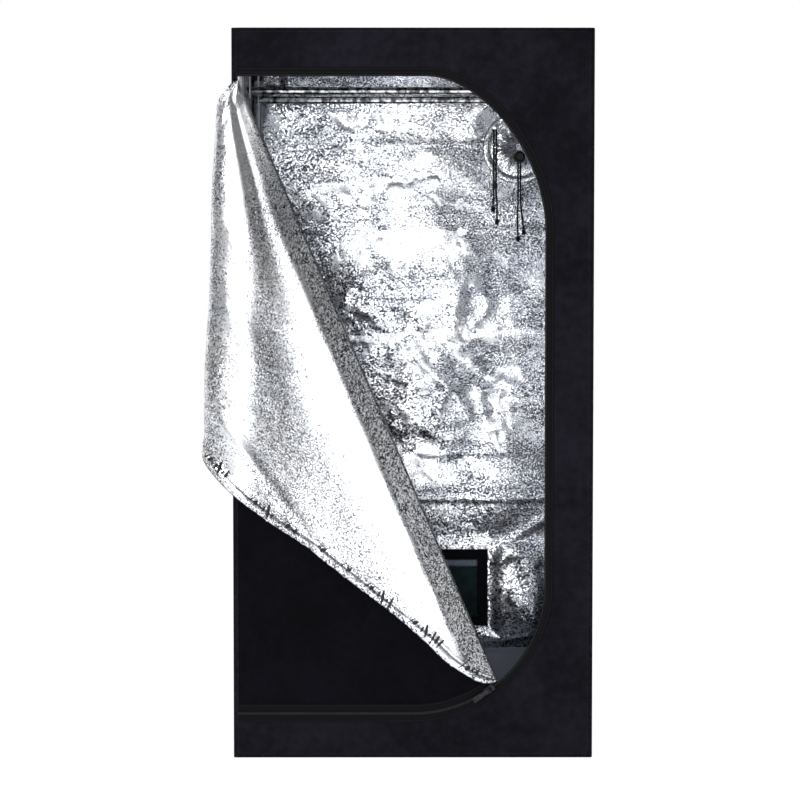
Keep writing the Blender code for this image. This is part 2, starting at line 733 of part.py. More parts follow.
def flap_edge():
    """The door's open edge in distances along and across the fold line, from the top to the tip."""
    edge = []
    for point in open_edge:
        offset = point - top_left
        edge.append((offset.dot(FOLD_ALONG), offset.dot(FOLD_ACROSS)))
    return edge


def edge_across(edge, along):
    """The open edge's distance across the fold line at a distance along it."""
    for (first_along, first_across), (second_along, second_across) in zip(edge, edge[1:]):
        if first_along <= along <= second_along:
            share = (along - first_along) / (second_along - first_along)
            return first_across + share * (second_across - first_across)
    return 0.0


def flap_rows():
    """Distances along the fold line for the cloth's rows, closer together at both ends."""
    first = FLAP_TOP_CUT
    last = FOLD_LENGTH - FLAP_TIP_CUT
    shares = [(1 - math.cos(math.pi * row / FLAP_ROWS)) / 2 for row in range(FLAP_ROWS + 1)]
    return [first + (last - first) * share for share in shares]


def door_flap(pivot):
    edge = flap_edge()
    start = ROLL_START_ANGLE * INNER_ROLL * FOLD_ACROSS.x
    half = FLAP_CLOTH / 2
    cloth_loops = []
    tape_loops = []
    for along in flap_rows():
        outer = edge_across(edge, along)
        inner = outer - FLAP_TAPE_WIDTH
        steps = [start + (inner - start) * column / FLAP_COLUMNS for column in range(FLAP_COLUMNS + 1)]
        seen = [cloth_point(along, across, half) for across in steps]
        unseen = [cloth_point(along, across, -half) for across in steps]
        cloth_loops.append([*seen, *reversed(unseen)])
        seam = inner + FLAP_TAPE_GAP
        corners = ((seam, half), (outer, half), (outer, -half), (seam, -half))
        tape_loops.append([cloth_point(along, across, lift) for across, lift in corners])
    placed("door_flap", sheet_mesh("door_flap", cloth_loops), foil, parent=pivot, smooth=True)
    tape = sheet_mesh("door_edge_zip_tape", tape_loops)
    placed("door_edge_zip_tape", tape, tape_black, parent=pivot)


# Zip on the front panel
def zips():
    face = TAPE_FACE
    tape = face - ZIP_TAPE
    coil = COIL_FACE
    open_section = [
        (-ZIP_TAPE_WIDTH, face), (0, face), (0, coil), (-COIL_HALF_WIDTH, coil), (-COIL_HALF_WIDTH, tape),
        (-ZIP_TAPE_WIDTH, tape),
    ]
    placed("opening_zip", strip_mesh("opening_zip", open_edge, open_section), tape_black)
    run = inward_cut(closed_edge)
    closed_section = [
        (-ZIP_TAPE_WIDTH, face), (ZIP_TAPE_WIDTH, face),
        (ZIP_TAPE_WIDTH, tape), (COIL_HALF_WIDTH, tape),
        (COIL_HALF_WIDTH, coil), (-COIL_HALF_WIDTH, coil),
        (-COIL_HALF_WIDTH, tape), (-ZIP_TAPE_WIDTH, tape),
    ]
    placed("closed_zip", strip_mesh("closed_zip", run, closed_section), tape_black)


def inward_cut(edge):
    """The closed run's centre line, started one seat gap past the tip."""
    first = edge[0] + (edge[1] - edge[0]).normalized() * SEAT_GAP
    return [first, *edge[1:]]


# Zip slider, which rides over the coil on the lower right corner's circle
def slider_frame():
    """Its X axis points along the zip to the closed run, Y out of the circle, Z out of the front."""
    outward = Vector((math.cos(SLIDER_ANGLE), 0, math.sin(SLIDER_ANGLE)))
    front = Vector((0, -1, 0))
    along = outward.cross(front)
    spot = Vector((LOWER_CENTRE.x, TAPE_FACE - ZIP_TAPE, LOWER_CENTRE.y)) + outward * LOWER_CORNER_RADIUS
    turned = Matrix((along, outward, front)).transposed().to_4x4()
    return Matrix.Translation(spot) @ turned


def zip_slider():
    frame = slider_frame()
    centre = Vector((LOWER_CENTRE.x, COIL_FACE, LOWER_CENTRE.y))
    half = COIL_HALF_WIDTH + SEAT_GAP
    outer = half + SLIDER_WALL
    low = SEAT_GAP
    channel = COIL_HEIGHT + SEAT_GAP
    roof = channel + SLIDER_WALL
    section = [
        (-outer, low), (-half, low), (-half, channel), (half, channel),
        (half, low), (outer, low), (outer, roof), (-outer, roof),
    ]
    loops = []
    turn = SLIDER_LENGTH / LOWER_CORNER_RADIUS
    for step in range(ROLL_STEPS + 1):
        angle = turn * (step / ROLL_STEPS - 1 / 2)
        spin = Matrix.Translation(centre) @ Matrix.Rotation(angle, 4, "Y") @ Matrix.Translation(-centre)
        loops.append([spin @ frame @ Vector((0, across, out)) for across, out in section])
    body = loops_mesh("slider_body", loops)
    post_half = SLIDER_WALL / 2
    sink = SLIDER_WALL / 2
    posts = []
    for side in (-1, 1):
        across = side * (half + post_half)
        low_corner = Vector((-SLIDER_WALL, across - post_half, roof - sink))
        high_corner = Vector((SLIDER_WALL, across + post_half, roof + BAIL_HEIGHT))
        post = box_mesh("post", low_corner, high_corner)
        post.transform(frame)
        posts.append(post)
    pin_level = roof + BAIL_HEIGHT - PULL_PIN_RADIUS - SEAT_GAP
    pin_start = (0, -half - post_half, pin_level)
    pin_end = (0, half + post_half, pin_level)
    pin = rod_mesh("pin", pin_start, pin_end, PULL_PIN_RADIUS, SOCKET_SIDES)
    pin.transform(frame)
    slider = combined("zip_slider", body, [*posts, pin], "UNION")
    pivot = empty("zip_travel", centre)
    placed("zip_slider", slider, zinc, parent=pivot, at=centre)

    hole = PULL_PIN_RADIUS + PULL_HOLE_CLEARANCE
    eye = hole + SLIDER_WALL
    width = 2 * half - SEAT_GAP - SEAT_GAP
    eye_blank = rod_mesh("eye", (0, -width / 2, pin_level), (0, width / 2, pin_level), eye, SOCKET_SIDES)
    tab_low = Vector((hole, -width / 2, pin_level - PULL_THICKNESS / 2))
    tab_high = Vector((PULL_LENGTH, width / 2, pin_level + PULL_THICKNESS / 2))
    tab = box_mesh("tab", tab_low, tab_high)
    paddle_low = Vector((PULL_LENGTH / 2, -PULL_WIDTH / 2, pin_level - PULL_THICKNESS / 2))
    paddle_high = Vector((PULL_LENGTH, PULL_WIDTH / 2, pin_level + PULL_THICKNESS / 2))
    paddle = box_mesh("paddle", paddle_low, paddle_high)
    bored = rod_mesh("bored", (0, -width, pin_level), (0, width, pin_level), hole, SOCKET_SIDES)
    pull_body = combined("pull_body", eye_blank, [tab, paddle], "UNION")
    pull = combined("zip_pull", pull_body, [bored], "DIFFERENCE")
    pull.transform(frame)
    hinge = frame @ Vector((0, 0, pin_level))
    placed("zip_pull", pull, zinc, parent=pivot, at=hinge)


# Duct port
def duct_sleeve():
    base = SLEEVE_BASE_Y
    neck_end = NECK_END_Y
    rim = PORT_RADIUS + PORT_FLANGE
    hem_inner = rim - HEM_WIDTH
    hem_round = HEM_DEPTH / 3
    outside = [
        (rim, INNER_WALL_Y, 0), (rim, base - HEM_DEPTH + hem_round, 0),
        (rim - hem_round, base - HEM_DEPTH, 0), (hem_inner + hem_round, base - HEM_DEPTH, 0),
        (hem_inner, base - HEM_DEPTH + hem_round, 0), (hem_inner, base, 0), (PORT_RADIUS, base, 0),
    ]
    flat_points = len(outside)
    neck_pull = PORT_RADIUS - NECK_RADIUS
    for step in range(1, CONE_STEPS + 1):
        share = step / CONE_STEPS
        radius = PORT_RADIUS - neck_pull * math.sin(share * math.pi / 2) ** CONE_MOUTH_POWER
        pleat = math.sin(share * math.pi) + share * NECK_PLEAT_SHARE
        outside.append((radius, base - SLEEVE_CONE * share ** CONE_DEPTH_POWER, pleat))
    outside.append((NECK_RADIUS, neck_end, NECK_PLEAT_SHARE))
    inside = [(NECK_BORE, neck_end, 0)]
    for radius, y, pleat in reversed(outside[flat_points:-1]):
        inside.append((max(radius - CLOTH, NECK_BORE), y + CLOTH, pleat))
    inside.append((PORT_RADIUS - CLOTH, INNER_WALL_Y, 0))
    profile = outside + inside
    loops = []
    for step in range(SLEEVE_SIDES):
        angle = 2 * math.pi * step / SLEEVE_SIDES
        wave = math.cos(PLEATS * angle) * PLEAT_DEPTH
        out_x = math.cos(angle)
        out_z = math.sin(angle)
        ring = []
        for radius, y, pleat in profile:
            fitted = radius + wave * pleat * min(1, radius / PORT_RADIUS + NECK_PLEAT_SHARE)
            if radius <= NECK_BORE:
                fitted = radius
            ring.append(Vector((PORT_X + fitted * out_x, y, PORT_LEVEL + fitted * out_z)))
        loops.append(ring)
    sleeve = loops_mesh("duct_sleeve", loops, around=True)
    tab_low = (RIM_STRING_X - TAB_HALF_WIDTH, base - HEM_DEPTH - TAB_PROUD, RIM_STRING_TOP)
    tab_high = (RIM_STRING_X + TAB_HALF_WIDTH, base - HEM_DEPTH / 2, RIM_STRING_TOP + TAB_HEIGHT)
    tab = box_mesh("string_tab", tab_low, tab_high)
    placed("duct_sleeve", combined("duct_sleeve", sleeve, [tab], "UNION"), foil, smooth=True)


def cord_lock():
    middle = Vector((PORT_X, LOCK_Y, LOCK_LEVEL))
    pivot = empty("cord_lock_slide", middle)
    back = LOCK_LENGTH / 2
    bore = LOCK_RADIUS - LOCK_WALL
    frame = Matrix.Translation(middle) @ Matrix.Rotation(math.pi / 2, 4, "X")
    cup = [
        (LOCK_RADIUS - LOCK_SHOULDER, -back), (LOCK_RADIUS, -back + LOCK_SHOULDER), (LOCK_RADIUS, back),
        (bore, back), (bore, -back + LOCK_WALL), (0, -back + LOCK_WALL), (0, -back),
    ]
    body = solid_of_turn("lock_cup", cup, frame)
    half_wide = STRAND_DIAMETER + STRAND_GAP / 2 + STRAND_HOLE_SLACK
    half_deep = STRAND_DIAMETER / 2 + STRAND_HOLE_SLACK
    tall = LOCK_RADIUS + LOCK_WALL
    low = middle + Vector((-half_wide, -half_deep, -tall))
    high = middle + Vector((half_wide, half_deep, tall))
    slot = box_mesh("strand_slot", low, high)
    cup_body = combined("cord_lock_body", body, [slot], "DIFFERENCE")
    placed("cord_lock_body", cup_body, lock_plastic, parent=pivot, at=middle, smooth=True)

    button_radius = bore - BUTTON_CLEARANCE
    button_back = -half_deep - LOCK_WALL
    head = back + BUTTON_PROUD
    knob = [
        (0, head), (button_radius - LOCK_SHOULDER, head), (button_radius, head - LOCK_SHOULDER),
        (button_radius, button_back), (0, button_back),
    ]
    plunger = solid_of_turn("plunger", knob, frame)
    low = middle + Vector((-half_wide, -half_deep - BUTTON_TRAVEL, -tall))
    high = middle + Vector((half_wide, half_deep, tall))
    passage = box_mesh("strand_passage", low, high)
    button = combined("cord_lock_button", plunger, [passage], "DIFFERENCE")
    placed("cord_lock_button", button, lock_plastic, parent=pivot, at=middle, smooth=True)

    spring_low = -back + LOCK_WALL + SEAT_GAP + SPRING_WIRE_RADIUS
    spring_high = button_back - SEAT_GAP - SPRING_WIRE_RADIUS
    turns = SPRING_TURNS * SPRING_STEPS
    loops = []
    for step in range(turns + 1):
        angle = 2 * math.pi * step / SPRING_STEPS
        out = Vector((math.cos(angle), math.sin(angle), 0))
        spot = out * SPRING_RADIUS + Vector((0, 0, spring_low + (spring_high - spring_low) * step / turns))
        ring = []
        for side in range(SPRING_SIDES):
            round_wire = 2 * math.pi * side / SPRING_SIDES
            lean = out * math.cos(round_wire) + Vector((0, 0, math.sin(round_wire)))
            ring.append(frame @ (spot + lean * SPRING_WIRE_RADIUS))
        loops.append(ring)
    spring = loops_mesh("cord_lock_spring", loops)
    placed("cord_lock_spring", spring, spring_steel, parent=pivot, smooth=True)


def solid_of_turn(name, profile, frame):
    """An open profile from the axis to the axis, turned into a solid about the frame's Z axis."""
    def build(shape):
        rings = []
        for radius, length in profile:
            if radius > 0:
                ring = []
                for step in range(SOCKET_SIDES):
                    angle = 2 * math.pi * step / SOCKET_SIDES
                    spot = Vector((radius * math.cos(angle), radius * math.sin(angle), length))
                    ring.append(shape.verts.new(frame @ spot))
                rings.append(ring)
            else:
                rings.append([shape.verts.new(frame @ Vector((0, 0, length)))])
        joined = list(zip(rings, rings[1:]))
        if len(rings[0]) > 1 or len(rings[-1]) > 1:
            joined.append((rings[-1], rings[0]))
        for first, second in joined:
            for step in range(SOCKET_SIDES):
                following = (step + 1) % SOCKET_SIDES
                corners = [first[step % len(first)], first[following % len(first)]]
                corners += [second[following % len(second)], second[step % len(second)]]
                unique = list(dict.fromkeys(corners))
                if len(unique) > 2:
                    shape.faces.new(unique)
    return closed_mesh(name, build)


# Drawstrings and their knots
def strand(name, route):
    """A cord along a smooth route, with its own points at equal steps."""
    points = spaced(smooth_route(route, CURVE_STEPS), STRAND_POINTS)
    curve = bpy.data.curves.new(name, "CURVE")
    curve.dimensions = "3D"
    curve.bevel_depth = STRAND_DIAMETER / 2
    curve.bevel_resolution = 2
    curve.use_fill_caps = True
    line = curve.splines.new("POLY")
    line.points.add(len(points) - 1)
    for target, point in zip(line.points, points):
        target.co = (*point, 1.0)
    curve.materials.append(cord_black)
    bpy.context.scene.collection.objects.link(bpy.data.objects.new(name, curve))


def knot(name, end):
    """A rounded knot just under the end of a hanging strand."""
    def build(shape):
        sides = KNOT_SIDES
        made = bmesh.ops.create_uvsphere(shape, u_segments=sides, v_segments=sides, radius=KNOT_RADIUS)
        stretch = KNOT_HEIGHT / 2 / KNOT_RADIUS
        bmesh.ops.scale(shape, verts=made["verts"], vec=(1, 1, stretch))
        low = end - Vector((0, 0, KNOT_HEIGHT / 2 + SEAT_GAP))
        bmesh.ops.translate(shape, verts=made["verts"], vec=low)
    placed(name, closed_mesh(name, build), cord_black, smooth=True)


def string_route(x, y, top, hang, shares):
    """The points of a hanging string's route, from its length down and the shares along it."""
    return [Vector((x + hang * sideways, y, top - hang * down)) for sideways, down in shares]


def drawstrings():
    neck = PORT_LEVEL - NECK_RADIUS - STRAND_HOLE_SLACK / 2
    rim = RIM_STRING_TOP - SEAT_GAP
    out = SLEEVE_BASE_Y - HEM_DEPTH - RIM_STRING_PROUD
    left = PORT_X - STRAND_OFFSET
    right = PORT_X + STRAND_OFFSET
    rim_left = RIM_STRING_X - STRAND_OFFSET
    rim_right = RIM_STRING_X + STRAND_OFFSET
    strings = {
        "lock_string_left": string_route(left, LOCK_Y, neck, LEFT_STRING_HANG, LEFT_STRING_SHARES),
        "lock_string_right": string_route(right, LOCK_Y, neck, RIGHT_STRING_HANG, RIGHT_STRING_SHARES),
        "rim_string_left": string_route(rim_left, out, rim, RIM_LEFT_HANG, RIM_LEFT_SHARES),
        "rim_string_right": string_route(rim_right, out, rim, RIM_RIGHT_HANG, RIM_RIGHT_SHARES),
    }
    for name, route in strings.items():
        strand(name, route)
        knot(f"{name}_knot", route[-1])

    bead_middle = Vector((RIM_STRING_X, out, BEAD_LEVEL))
    half = BEAD_HEIGHT / 2
    rounding = BEAD_HEIGHT / 4
    profile = [
        (0, -half), (BEAD_RADIUS - rounding / 2, -half), (BEAD_RADIUS, -half + rounding),
        (BEAD_RADIUS, half - rounding), (BEAD_RADIUS - rounding / 2, half), (0, half),
    ]
    bead = solid_of_turn("bead_body", profile, Matrix.Translation(bead_middle))
    wide = STRAND_DIAMETER + STRAND_GAP / 2 + SEAT_GAP
    deep = STRAND_DIAMETER / 2 + SEAT_GAP
    low = bead_middle - Vector((wide, deep, BEAD_HEIGHT))
    high = bead_middle + Vector((wide, deep, BEAD_HEIGHT))
    slot = box_mesh("bead_slot", low, high)
    bead = combined("rim_string_bead", bead, [slot], "DIFFERENCE")
    placed("rim_string_bead", bead, lock_plastic, smooth=True)


# Vent: frame inside, net and flap outside
def grille_mesh(name, low, high, near, far, columns, rows, strand_width):
    """A flat net in XZ with columns by rows square gaps between strands."""
    def cuts(start, end, count):
        pitch = (end - start - strand_width) / count
        marks = []
        for index in range(count + 1):
            marks += [start + pitch * index, start + pitch * index + strand_width]
        return marks

    xs = cuts(low.x, high.x, columns)
    zs = cuts(low.y, high.y, rows)

    def build(shape):
        grid = {}
        for side, y in enumerate((near, far)):
            for i, x in enumerate(xs):
                for k, z in enumerate(zs):
                    grid[side, i, k] = shape.verts.new((x, y, z))

        def solid(i, k):
            inside = 0 <= i < len(xs) - 1 and 0 <= k < len(zs) - 1
            return inside and not (i % 2 and k % 2)

        for i in range(len(xs) - 1):
            for k in range(len(zs) - 1):
                if not solid(i, k):
                    continue
                for side in (0, 1):
                    shape.faces.new((
                        grid[side, i, k], grid[side, i + 1, k],
                        grid[side, i + 1, k + 1], grid[side, i, k + 1],
                    ))
                sides = (
                    (i - 1, k, (i, k), (i, k + 1)), (i + 1, k, (i + 1, k), (i + 1, k + 1)),
                    (i, k - 1, (i, k), (i + 1, k)), (i, k + 1, (i, k + 1), (i + 1, k + 1)),
                )
                for beside_i, beside_k, start, end in sides:
                    if not solid(beside_i, beside_k):
                        shape.faces.new((grid[0, *start], grid[0, *end], grid[1, *end], grid[1, *start]))
    return closed_mesh(name, build)


def vent():
    inner_x = VENT_HALF_WIDTH - VENT_FRAME
    inner_low = VENT_BOTTOM + VENT_FRAME
    inner_high = VENT_TOP - VENT_FRAME
    far = BACK - CLOTH - SEAT_GAP
    near = far - CLOTH
    blank = box_mesh("frame_blank", (-VENT_HALF_WIDTH, near, VENT_BOTTOM), (VENT_HALF_WIDTH, far, VENT_TOP))
    hole = box_mesh("frame_hole", (-inner_x, near - CLOTH, inner_low), (inner_x, far + CLOTH, inner_high))
    placed("vent_frame", combined("vent_frame", blank, [hole], "DIFFERENCE"), tape_black)

    net_low = Vector((-inner_x - NET_MARGIN, inner_low - NET_MARGIN))
    net_high = Vector((inner_x + NET_MARGIN, inner_high + NET_MARGIN))
    net_near = BACK + SEAT_GAP
    net_far = net_near + NET_THICKNESS
    net = grille_mesh("vent_net", net_low, net_high, net_near, net_far, NET_COLUMNS, NET_ROWS, NET_STRAND)
    placed("vent_net", net, net_black)

    flap_near = net_far + SEAT_GAP
    flap_far = flap_near + CLOTH
    wide = VENT_HALF_WIDTH + VENT_FLAP_MARGIN
    bottom = VENT_BOTTOM - VENT_FLAP_MARGIN
    top = VENT_TOP + VENT_FLAP_MARGIN
    hinge = Vector((0, (flap_near + flap_far) / 2, top))
    flap = box_mesh("vent_flap", (-wide, flap_near, bottom), (wide, flap_far, top))
    placed("vent_flap", flap, oxford, at=hinge)


def floor_tray():
    half_x = POLE_X - POLE_RADIUS - TRAY_SLACK
    half_y = POLE_Y - POLE_RADIUS - TRAY_SLACK
    low = CLOTH + SEAT_GAP
    outer = box_mesh("tray_outer", (-half_x, -half_y, low), (half_x, half_y, TRAY_HEIGHT))
    inner_low = (-half_x + TRAY_WALL, -half_y + TRAY_WALL, low + TRAY_WALL)
    inner_high = (half_x - TRAY_WALL, half_y - TRAY_WALL, TRAY_HEIGHT + TRAY_WALL)
    inner = box_mesh("tray_inner", inner_low, inner_high)
    placed("floor_tray", combined("floor_tray", outer, [inner], "DIFFERENCE"), tray_film)


cover()
frame_poles()
corner_connectors()
hanging_bar("front_bar", -BAR_PLACE)
hanging_bar("rear_bar", BAR_PLACE)
door_panel()
flap_hinge = empty("flap_hinge", (top_left.x - ROLL_REACH, ROLL_CENTRE_Y, top_left.y))
door_flap(flap_hinge)
zips()
zip_slider()
duct_sleeve()
cord_lock()
drawstrings()
vent()
floor_tray()
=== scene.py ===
# %% [markdown]
# # An indoor grow tent
# The tent is a soft cover over a frame of steel poles. Its door is unzipped and folded to the left,
# so the silver lining shows. This script loads the tent's fixed frame and dresses it, one piece at a
# time: first the cloth, then the zip, the frame, and the small parts of the duct port and the vent.

# %% Load the frame
import math

import bmesh
import bpy
import numpy as np
from mathutils import Matrix, Vector


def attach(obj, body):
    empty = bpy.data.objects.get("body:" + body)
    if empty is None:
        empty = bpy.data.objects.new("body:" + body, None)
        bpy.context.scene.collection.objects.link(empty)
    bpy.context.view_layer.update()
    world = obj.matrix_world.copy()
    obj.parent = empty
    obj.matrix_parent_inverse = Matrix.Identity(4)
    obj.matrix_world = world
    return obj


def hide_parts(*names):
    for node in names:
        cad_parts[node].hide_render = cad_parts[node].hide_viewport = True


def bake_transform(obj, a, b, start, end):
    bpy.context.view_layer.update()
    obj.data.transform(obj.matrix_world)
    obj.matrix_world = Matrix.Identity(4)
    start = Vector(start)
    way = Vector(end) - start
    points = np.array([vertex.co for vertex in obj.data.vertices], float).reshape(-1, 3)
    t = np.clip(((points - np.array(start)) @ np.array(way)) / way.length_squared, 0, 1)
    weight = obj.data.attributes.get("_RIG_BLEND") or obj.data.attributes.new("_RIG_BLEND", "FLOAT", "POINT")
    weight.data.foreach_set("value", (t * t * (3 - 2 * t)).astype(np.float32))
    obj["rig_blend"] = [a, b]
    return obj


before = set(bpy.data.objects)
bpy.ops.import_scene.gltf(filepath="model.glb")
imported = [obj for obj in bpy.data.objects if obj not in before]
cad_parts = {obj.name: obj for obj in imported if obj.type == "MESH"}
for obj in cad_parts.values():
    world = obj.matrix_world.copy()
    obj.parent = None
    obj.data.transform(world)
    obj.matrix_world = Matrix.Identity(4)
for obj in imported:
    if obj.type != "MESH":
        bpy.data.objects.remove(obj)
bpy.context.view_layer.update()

# %% [markdown]
# ## The sizes that the cloth follows
# The cover is a box of 0.60 x 0.60 x 1.22 m. Its front looks along -Y. The door opening is a D:
# straight at the left hinge side, rounded at the right corners. These numbers are the same as the
# frame's, in metres, so that every piece lands where its solid is.

# %% Sizes
WIDTH, DEPTH, HEIGHT = 0.600, 0.600, 1.220
SIDE, FRONT, BACK = WIDTH / 2, -DEPTH / 2, DEPTH / 2
CLOTH = 0.0012

HINGE_X = -0.293
OPENING_TOP, OPENING_BOTTOM, OPENING_RIGHT = 1.140, 0.075, 0.220
TOP_RUN_END, CORNER_DROP, CORNER_POWER = 0.025, 0.250, 1.75
LOWER_RADIUS = 0.220
LOWER_CENTRE = Vector((OPENING_RIGHT - LOWER_RADIUS, OPENING_BOTTOM + LOWER_RADIUS))
TIP_ANGLE = math.radians(-49.3)

PORT_X, PORT_LEVEL, PORT_RADIUS = 0.203, 1.0453, 0.055
VENT_HALF, VENT_LOW, VENT_HIGH, VENT_BAND = 0.147, 0.136, 0.283, 0.020
print("door opening:", round(OPENING_RIGHT - HINGE_X, 3), "x", round(OPENING_TOP - OPENING_BOTTOM, 3), "m")

# %% [markdown]
# ## The camera
# The photograph was taken from about 4.3 m in front of the tent with a long lens, a little above the
# tent's middle and tipped slightly down. A long lens keeps the edges nearly parallel, as they are in
# the photograph. The focal length comes from the picture's own width in pixels.

# %% Camera
SENSOR_WIDTH = 36.0
PHOTO_WIDTH, FOCAL_PIXELS = 800, 2580
TILT_DOWN, TURN_RIGHT = 0.05741, 0.00228
lens = bpy.data.cameras.new("photo_lens")
lens.sensor_width = SENSOR_WIDTH
lens.lens = FOCAL_PIXELS / PHOTO_WIDTH * SENSOR_WIDTH
lens.clip_end = 60
camera = bpy.data.objects.new("camera", lens)
camera.location = (-0.0316, -4.60, 0.8496)
camera.rotation_euler = (math.pi / 2 - TILT_DOWN, 0, -TURN_RIGHT)
bpy.context.scene.collection.objects.link(camera)
bpy.context.scene.camera = camera
print("lens:", round(lens.lens, 1), "mm")

# %% [markdown]
# ## Small helpers
# Cloth is made here as a grid of points in rows and columns. Each grid carries a flat map in metres
# (its UV map "cloth"), so that weave and embossing keep their real size where the cloth bends.
# Solidify gives the sheet its thickness, with one finish outside and the other inside.

# %% Helpers for meshes
def link(name, mesh):
    thing = bpy.data.objects.new(name, mesh)
    bpy.context.scene.collection.objects.link(thing)
    return thing


def plain(thing):
    """The object's mesh with its modifiers worked in, and the modifiers removed."""
    graph = bpy.context.evaluated_depsgraph_get()
    mesh = bpy.data.meshes.new_from_object(thing.evaluated_get(graph))
    thing.modifiers.clear()
    thing.data = mesh
    return thing


def sheet_piece(name, points, flat, looks, keep=None, thickness=CLOTH, offset=-1.0, taut_and_painted_highlight=None):
    """A sheet from points (rows, columns, 3), flat positions (rows, columns, 2) and its two finishes."""
    rows, columns = points.shape[:2]
    index = np.arange(rows * columns).reshape(rows, columns)
    quads = np.stack([index[:-1, :-1], index[:-1, 1:], index[1:, 1:], index[1:, :-1]], axis=-1)
    quads = quads.reshape(-1, 4)
    quads = quads if keep is None else quads[keep]
    used, packed = np.unique(quads, return_inverse=True)
    mesh = bpy.data.meshes.new(name)
    mesh.from_pydata(points.reshape(-1, 3)[used].tolist(), [], packed.reshape(-1, 4).tolist())
    uv = mesh.uv_layers.new(name="cloth")
    corners = np.zeros(len(mesh.loops), int)
    mesh.loops.foreach_get("vertex_index", corners)
    uv.data.foreach_set("uv", flat.reshape(-1, 2)[used][corners].astype(np.float32).ravel())
    # The taut mask also paints highlights: where it is high, the lining's painted dark dots are cleared.
    if taut_and_painted_highlight is not None:
        layer = mesh.attributes.new("taut_and_painted_highlight", "FLOAT", "POINT")
        layer.data.foreach_set("value", taut_and_painted_highlight.reshape(-1)[used].astype(np.float32))
    mesh.shade_smooth()
    thing = link(name, mesh)
    for look in looks:
        mesh.materials.append(look)
    solid = thing.modifiers.new("thickness", "SOLIDIFY")
    solid.thickness = thickness
    solid.offset = offset
    solid.material_offset = len(looks) - 1
    solid.material_offset_rim = 0
    return plain(thing)


def mesh_piece(name, verts, faces, look):
    mesh = bpy.data.meshes.new(name)
    mesh.from_pydata([tuple(v) for v in verts], [], [tuple(f) for f in faces])
    shape = bmesh.new()
    shape.from_mesh(mesh)
    bmesh.ops.recalc_face_normals(shape, faces=shape.faces)
    shape.to_mesh(mesh)
    shape.free()
    mesh.shade_smooth()
    mesh.set_sharp_from_angle(angle=math.radians(40))
    mesh.materials.append(look)
    return link(name, mesh)


def swept_piece(name, path, outline, look, closed=False):
    """An outline of (side, up) points carried along a path of (point, side, up) frames."""
    verts, faces = [], []
    count = len(outline)
    for point, side, up in path:
        verts += [point + side * a + up * b for a, b in outline]
    rows = len(path)
    for row in range(rows if closed else rows - 1):
        after = (row + 1) % rows
        for step in range(count):
            turn = (step + 1) % count
            faces.append((row * count + step, row * count + turn, after * count + turn, after * count + step))
    if not closed:
        faces.append(tuple(range(count)))
        faces.append(tuple((rows - 1) * count + step for step in range(count)))
    return mesh_piece(name, verts, faces, look)


def circle(radius, steps):
    """A circle's outline, as (side, up) points."""
    return [(radius * math.cos(a), radius * math.sin(a)) for a in np.linspace(0, 2 * math.pi, steps + 1)[:-1]]


def run_along(places):
    """How far along a path each of its points lies."""
    return np.concatenate([[0], np.cumsum(np.linalg.norm(np.diff(places, axis=0), axis=1))])


print("a circle of 8 points, left open, runs", round(float(run_along(np.array(circle(1.0, 8)))[-1]), 3), "radii")


# %% [markdown]
# ## Noise for folds
# Cloth never lies quite flat. The folds here come from a smooth random pattern, gradient noise, with
# a fixed seed for each use, so that the tent comes out the same every time. Turned over at zero, the
# same noise gives sharp ridges: the creases that foil keeps after it has been folded.

# %% Noise
def noise(x, y, size, seed):
    """Smooth waves from about -1 to 1. Each is about size wide, in metres."""
    x, y = np.asarray(x, float) / size, np.asarray(y, float) / size
    column, row = np.floor(x).astype(int), np.floor(y).astype(int)
    dx, dy = x - column, y - row
    turns = np.random.default_rng(seed).random((64, 64)) * 2 * math.pi

    def slope(step_x, step_y):
        angle = turns[(column + step_x) % 64, (row + step_y) % 64]
        return np.cos(angle) * (dx - step_x) + np.sin(angle) * (dy - step_y)

    wx, wy = dx ** 3 * (dx * (dx * 6 - 15) + 10), dy ** 3 * (dy * (dy * 6 - 15) + 10)
    low = slope(0, 0) * (1 - wx) + slope(1, 0) * wx
    high = slope(0, 1) * (1 - wx) + slope(1, 1) * wx
    return 1.5 * (low * (1 - wy) + high * wy)


def creases(x, y, size, seed):
    """Sharp ridges between 0 and 1, on lines that wander about size apart."""
    wander = 0.35 * size
    warp_x = x + wander * noise(x, y, 1.7 * size, seed + 50)
    warp_y = y + wander * noise(x, y, 1.7 * size, seed + 51)
    return 1 - np.clip(np.abs(noise(warp_x, warp_y, size, seed)) * 1.6, 0, 1)


def ease(value, low, high):
    """0 below low, 1 above high, and smooth between them."""
    share = np.clip((value - low) / (high - low), 0, 1)
    return share * share * (3 - 2 * share)


sample = noise(np.linspace(0, 1, 400), np.zeros(400), 0.1, 1)
print("noise runs from", round(float(sample.min()), 2), "to", round(float(sample.max()), 2))


# %% [markdown]
# ## Writing materials as nodes
# A material is a small network: textures go in, and the surface's colour, roughness and tilt come
# out. These helpers add a node and connect it in one line. A tint is often used as a pair, one shade
# darker and one lighter, with noise choosing between them.

# %% Helpers for materials
def put(tree, socket, value):
    """Gives a socket a value, or links it to the output of another node."""
    if isinstance(value, bpy.types.NodeSocket):
        tree.links.new(value, socket)
    else:
        socket.default_value = value


def add_node(tree, kind, settings=None, inputs=None):
    node = tree.nodes.new(kind)
    for key, value in (settings or {}).items():
        setattr(node, key, value)
    for key, value in (inputs or {}).items():
        put(tree, node.inputs[key], value)
    return node


def shades(tint, low, high):
    """A darker and a lighter shade of a tint."""
    return (*[c * low for c in tint], 1), (*[min(c * high, 1) for c in tint], 1)


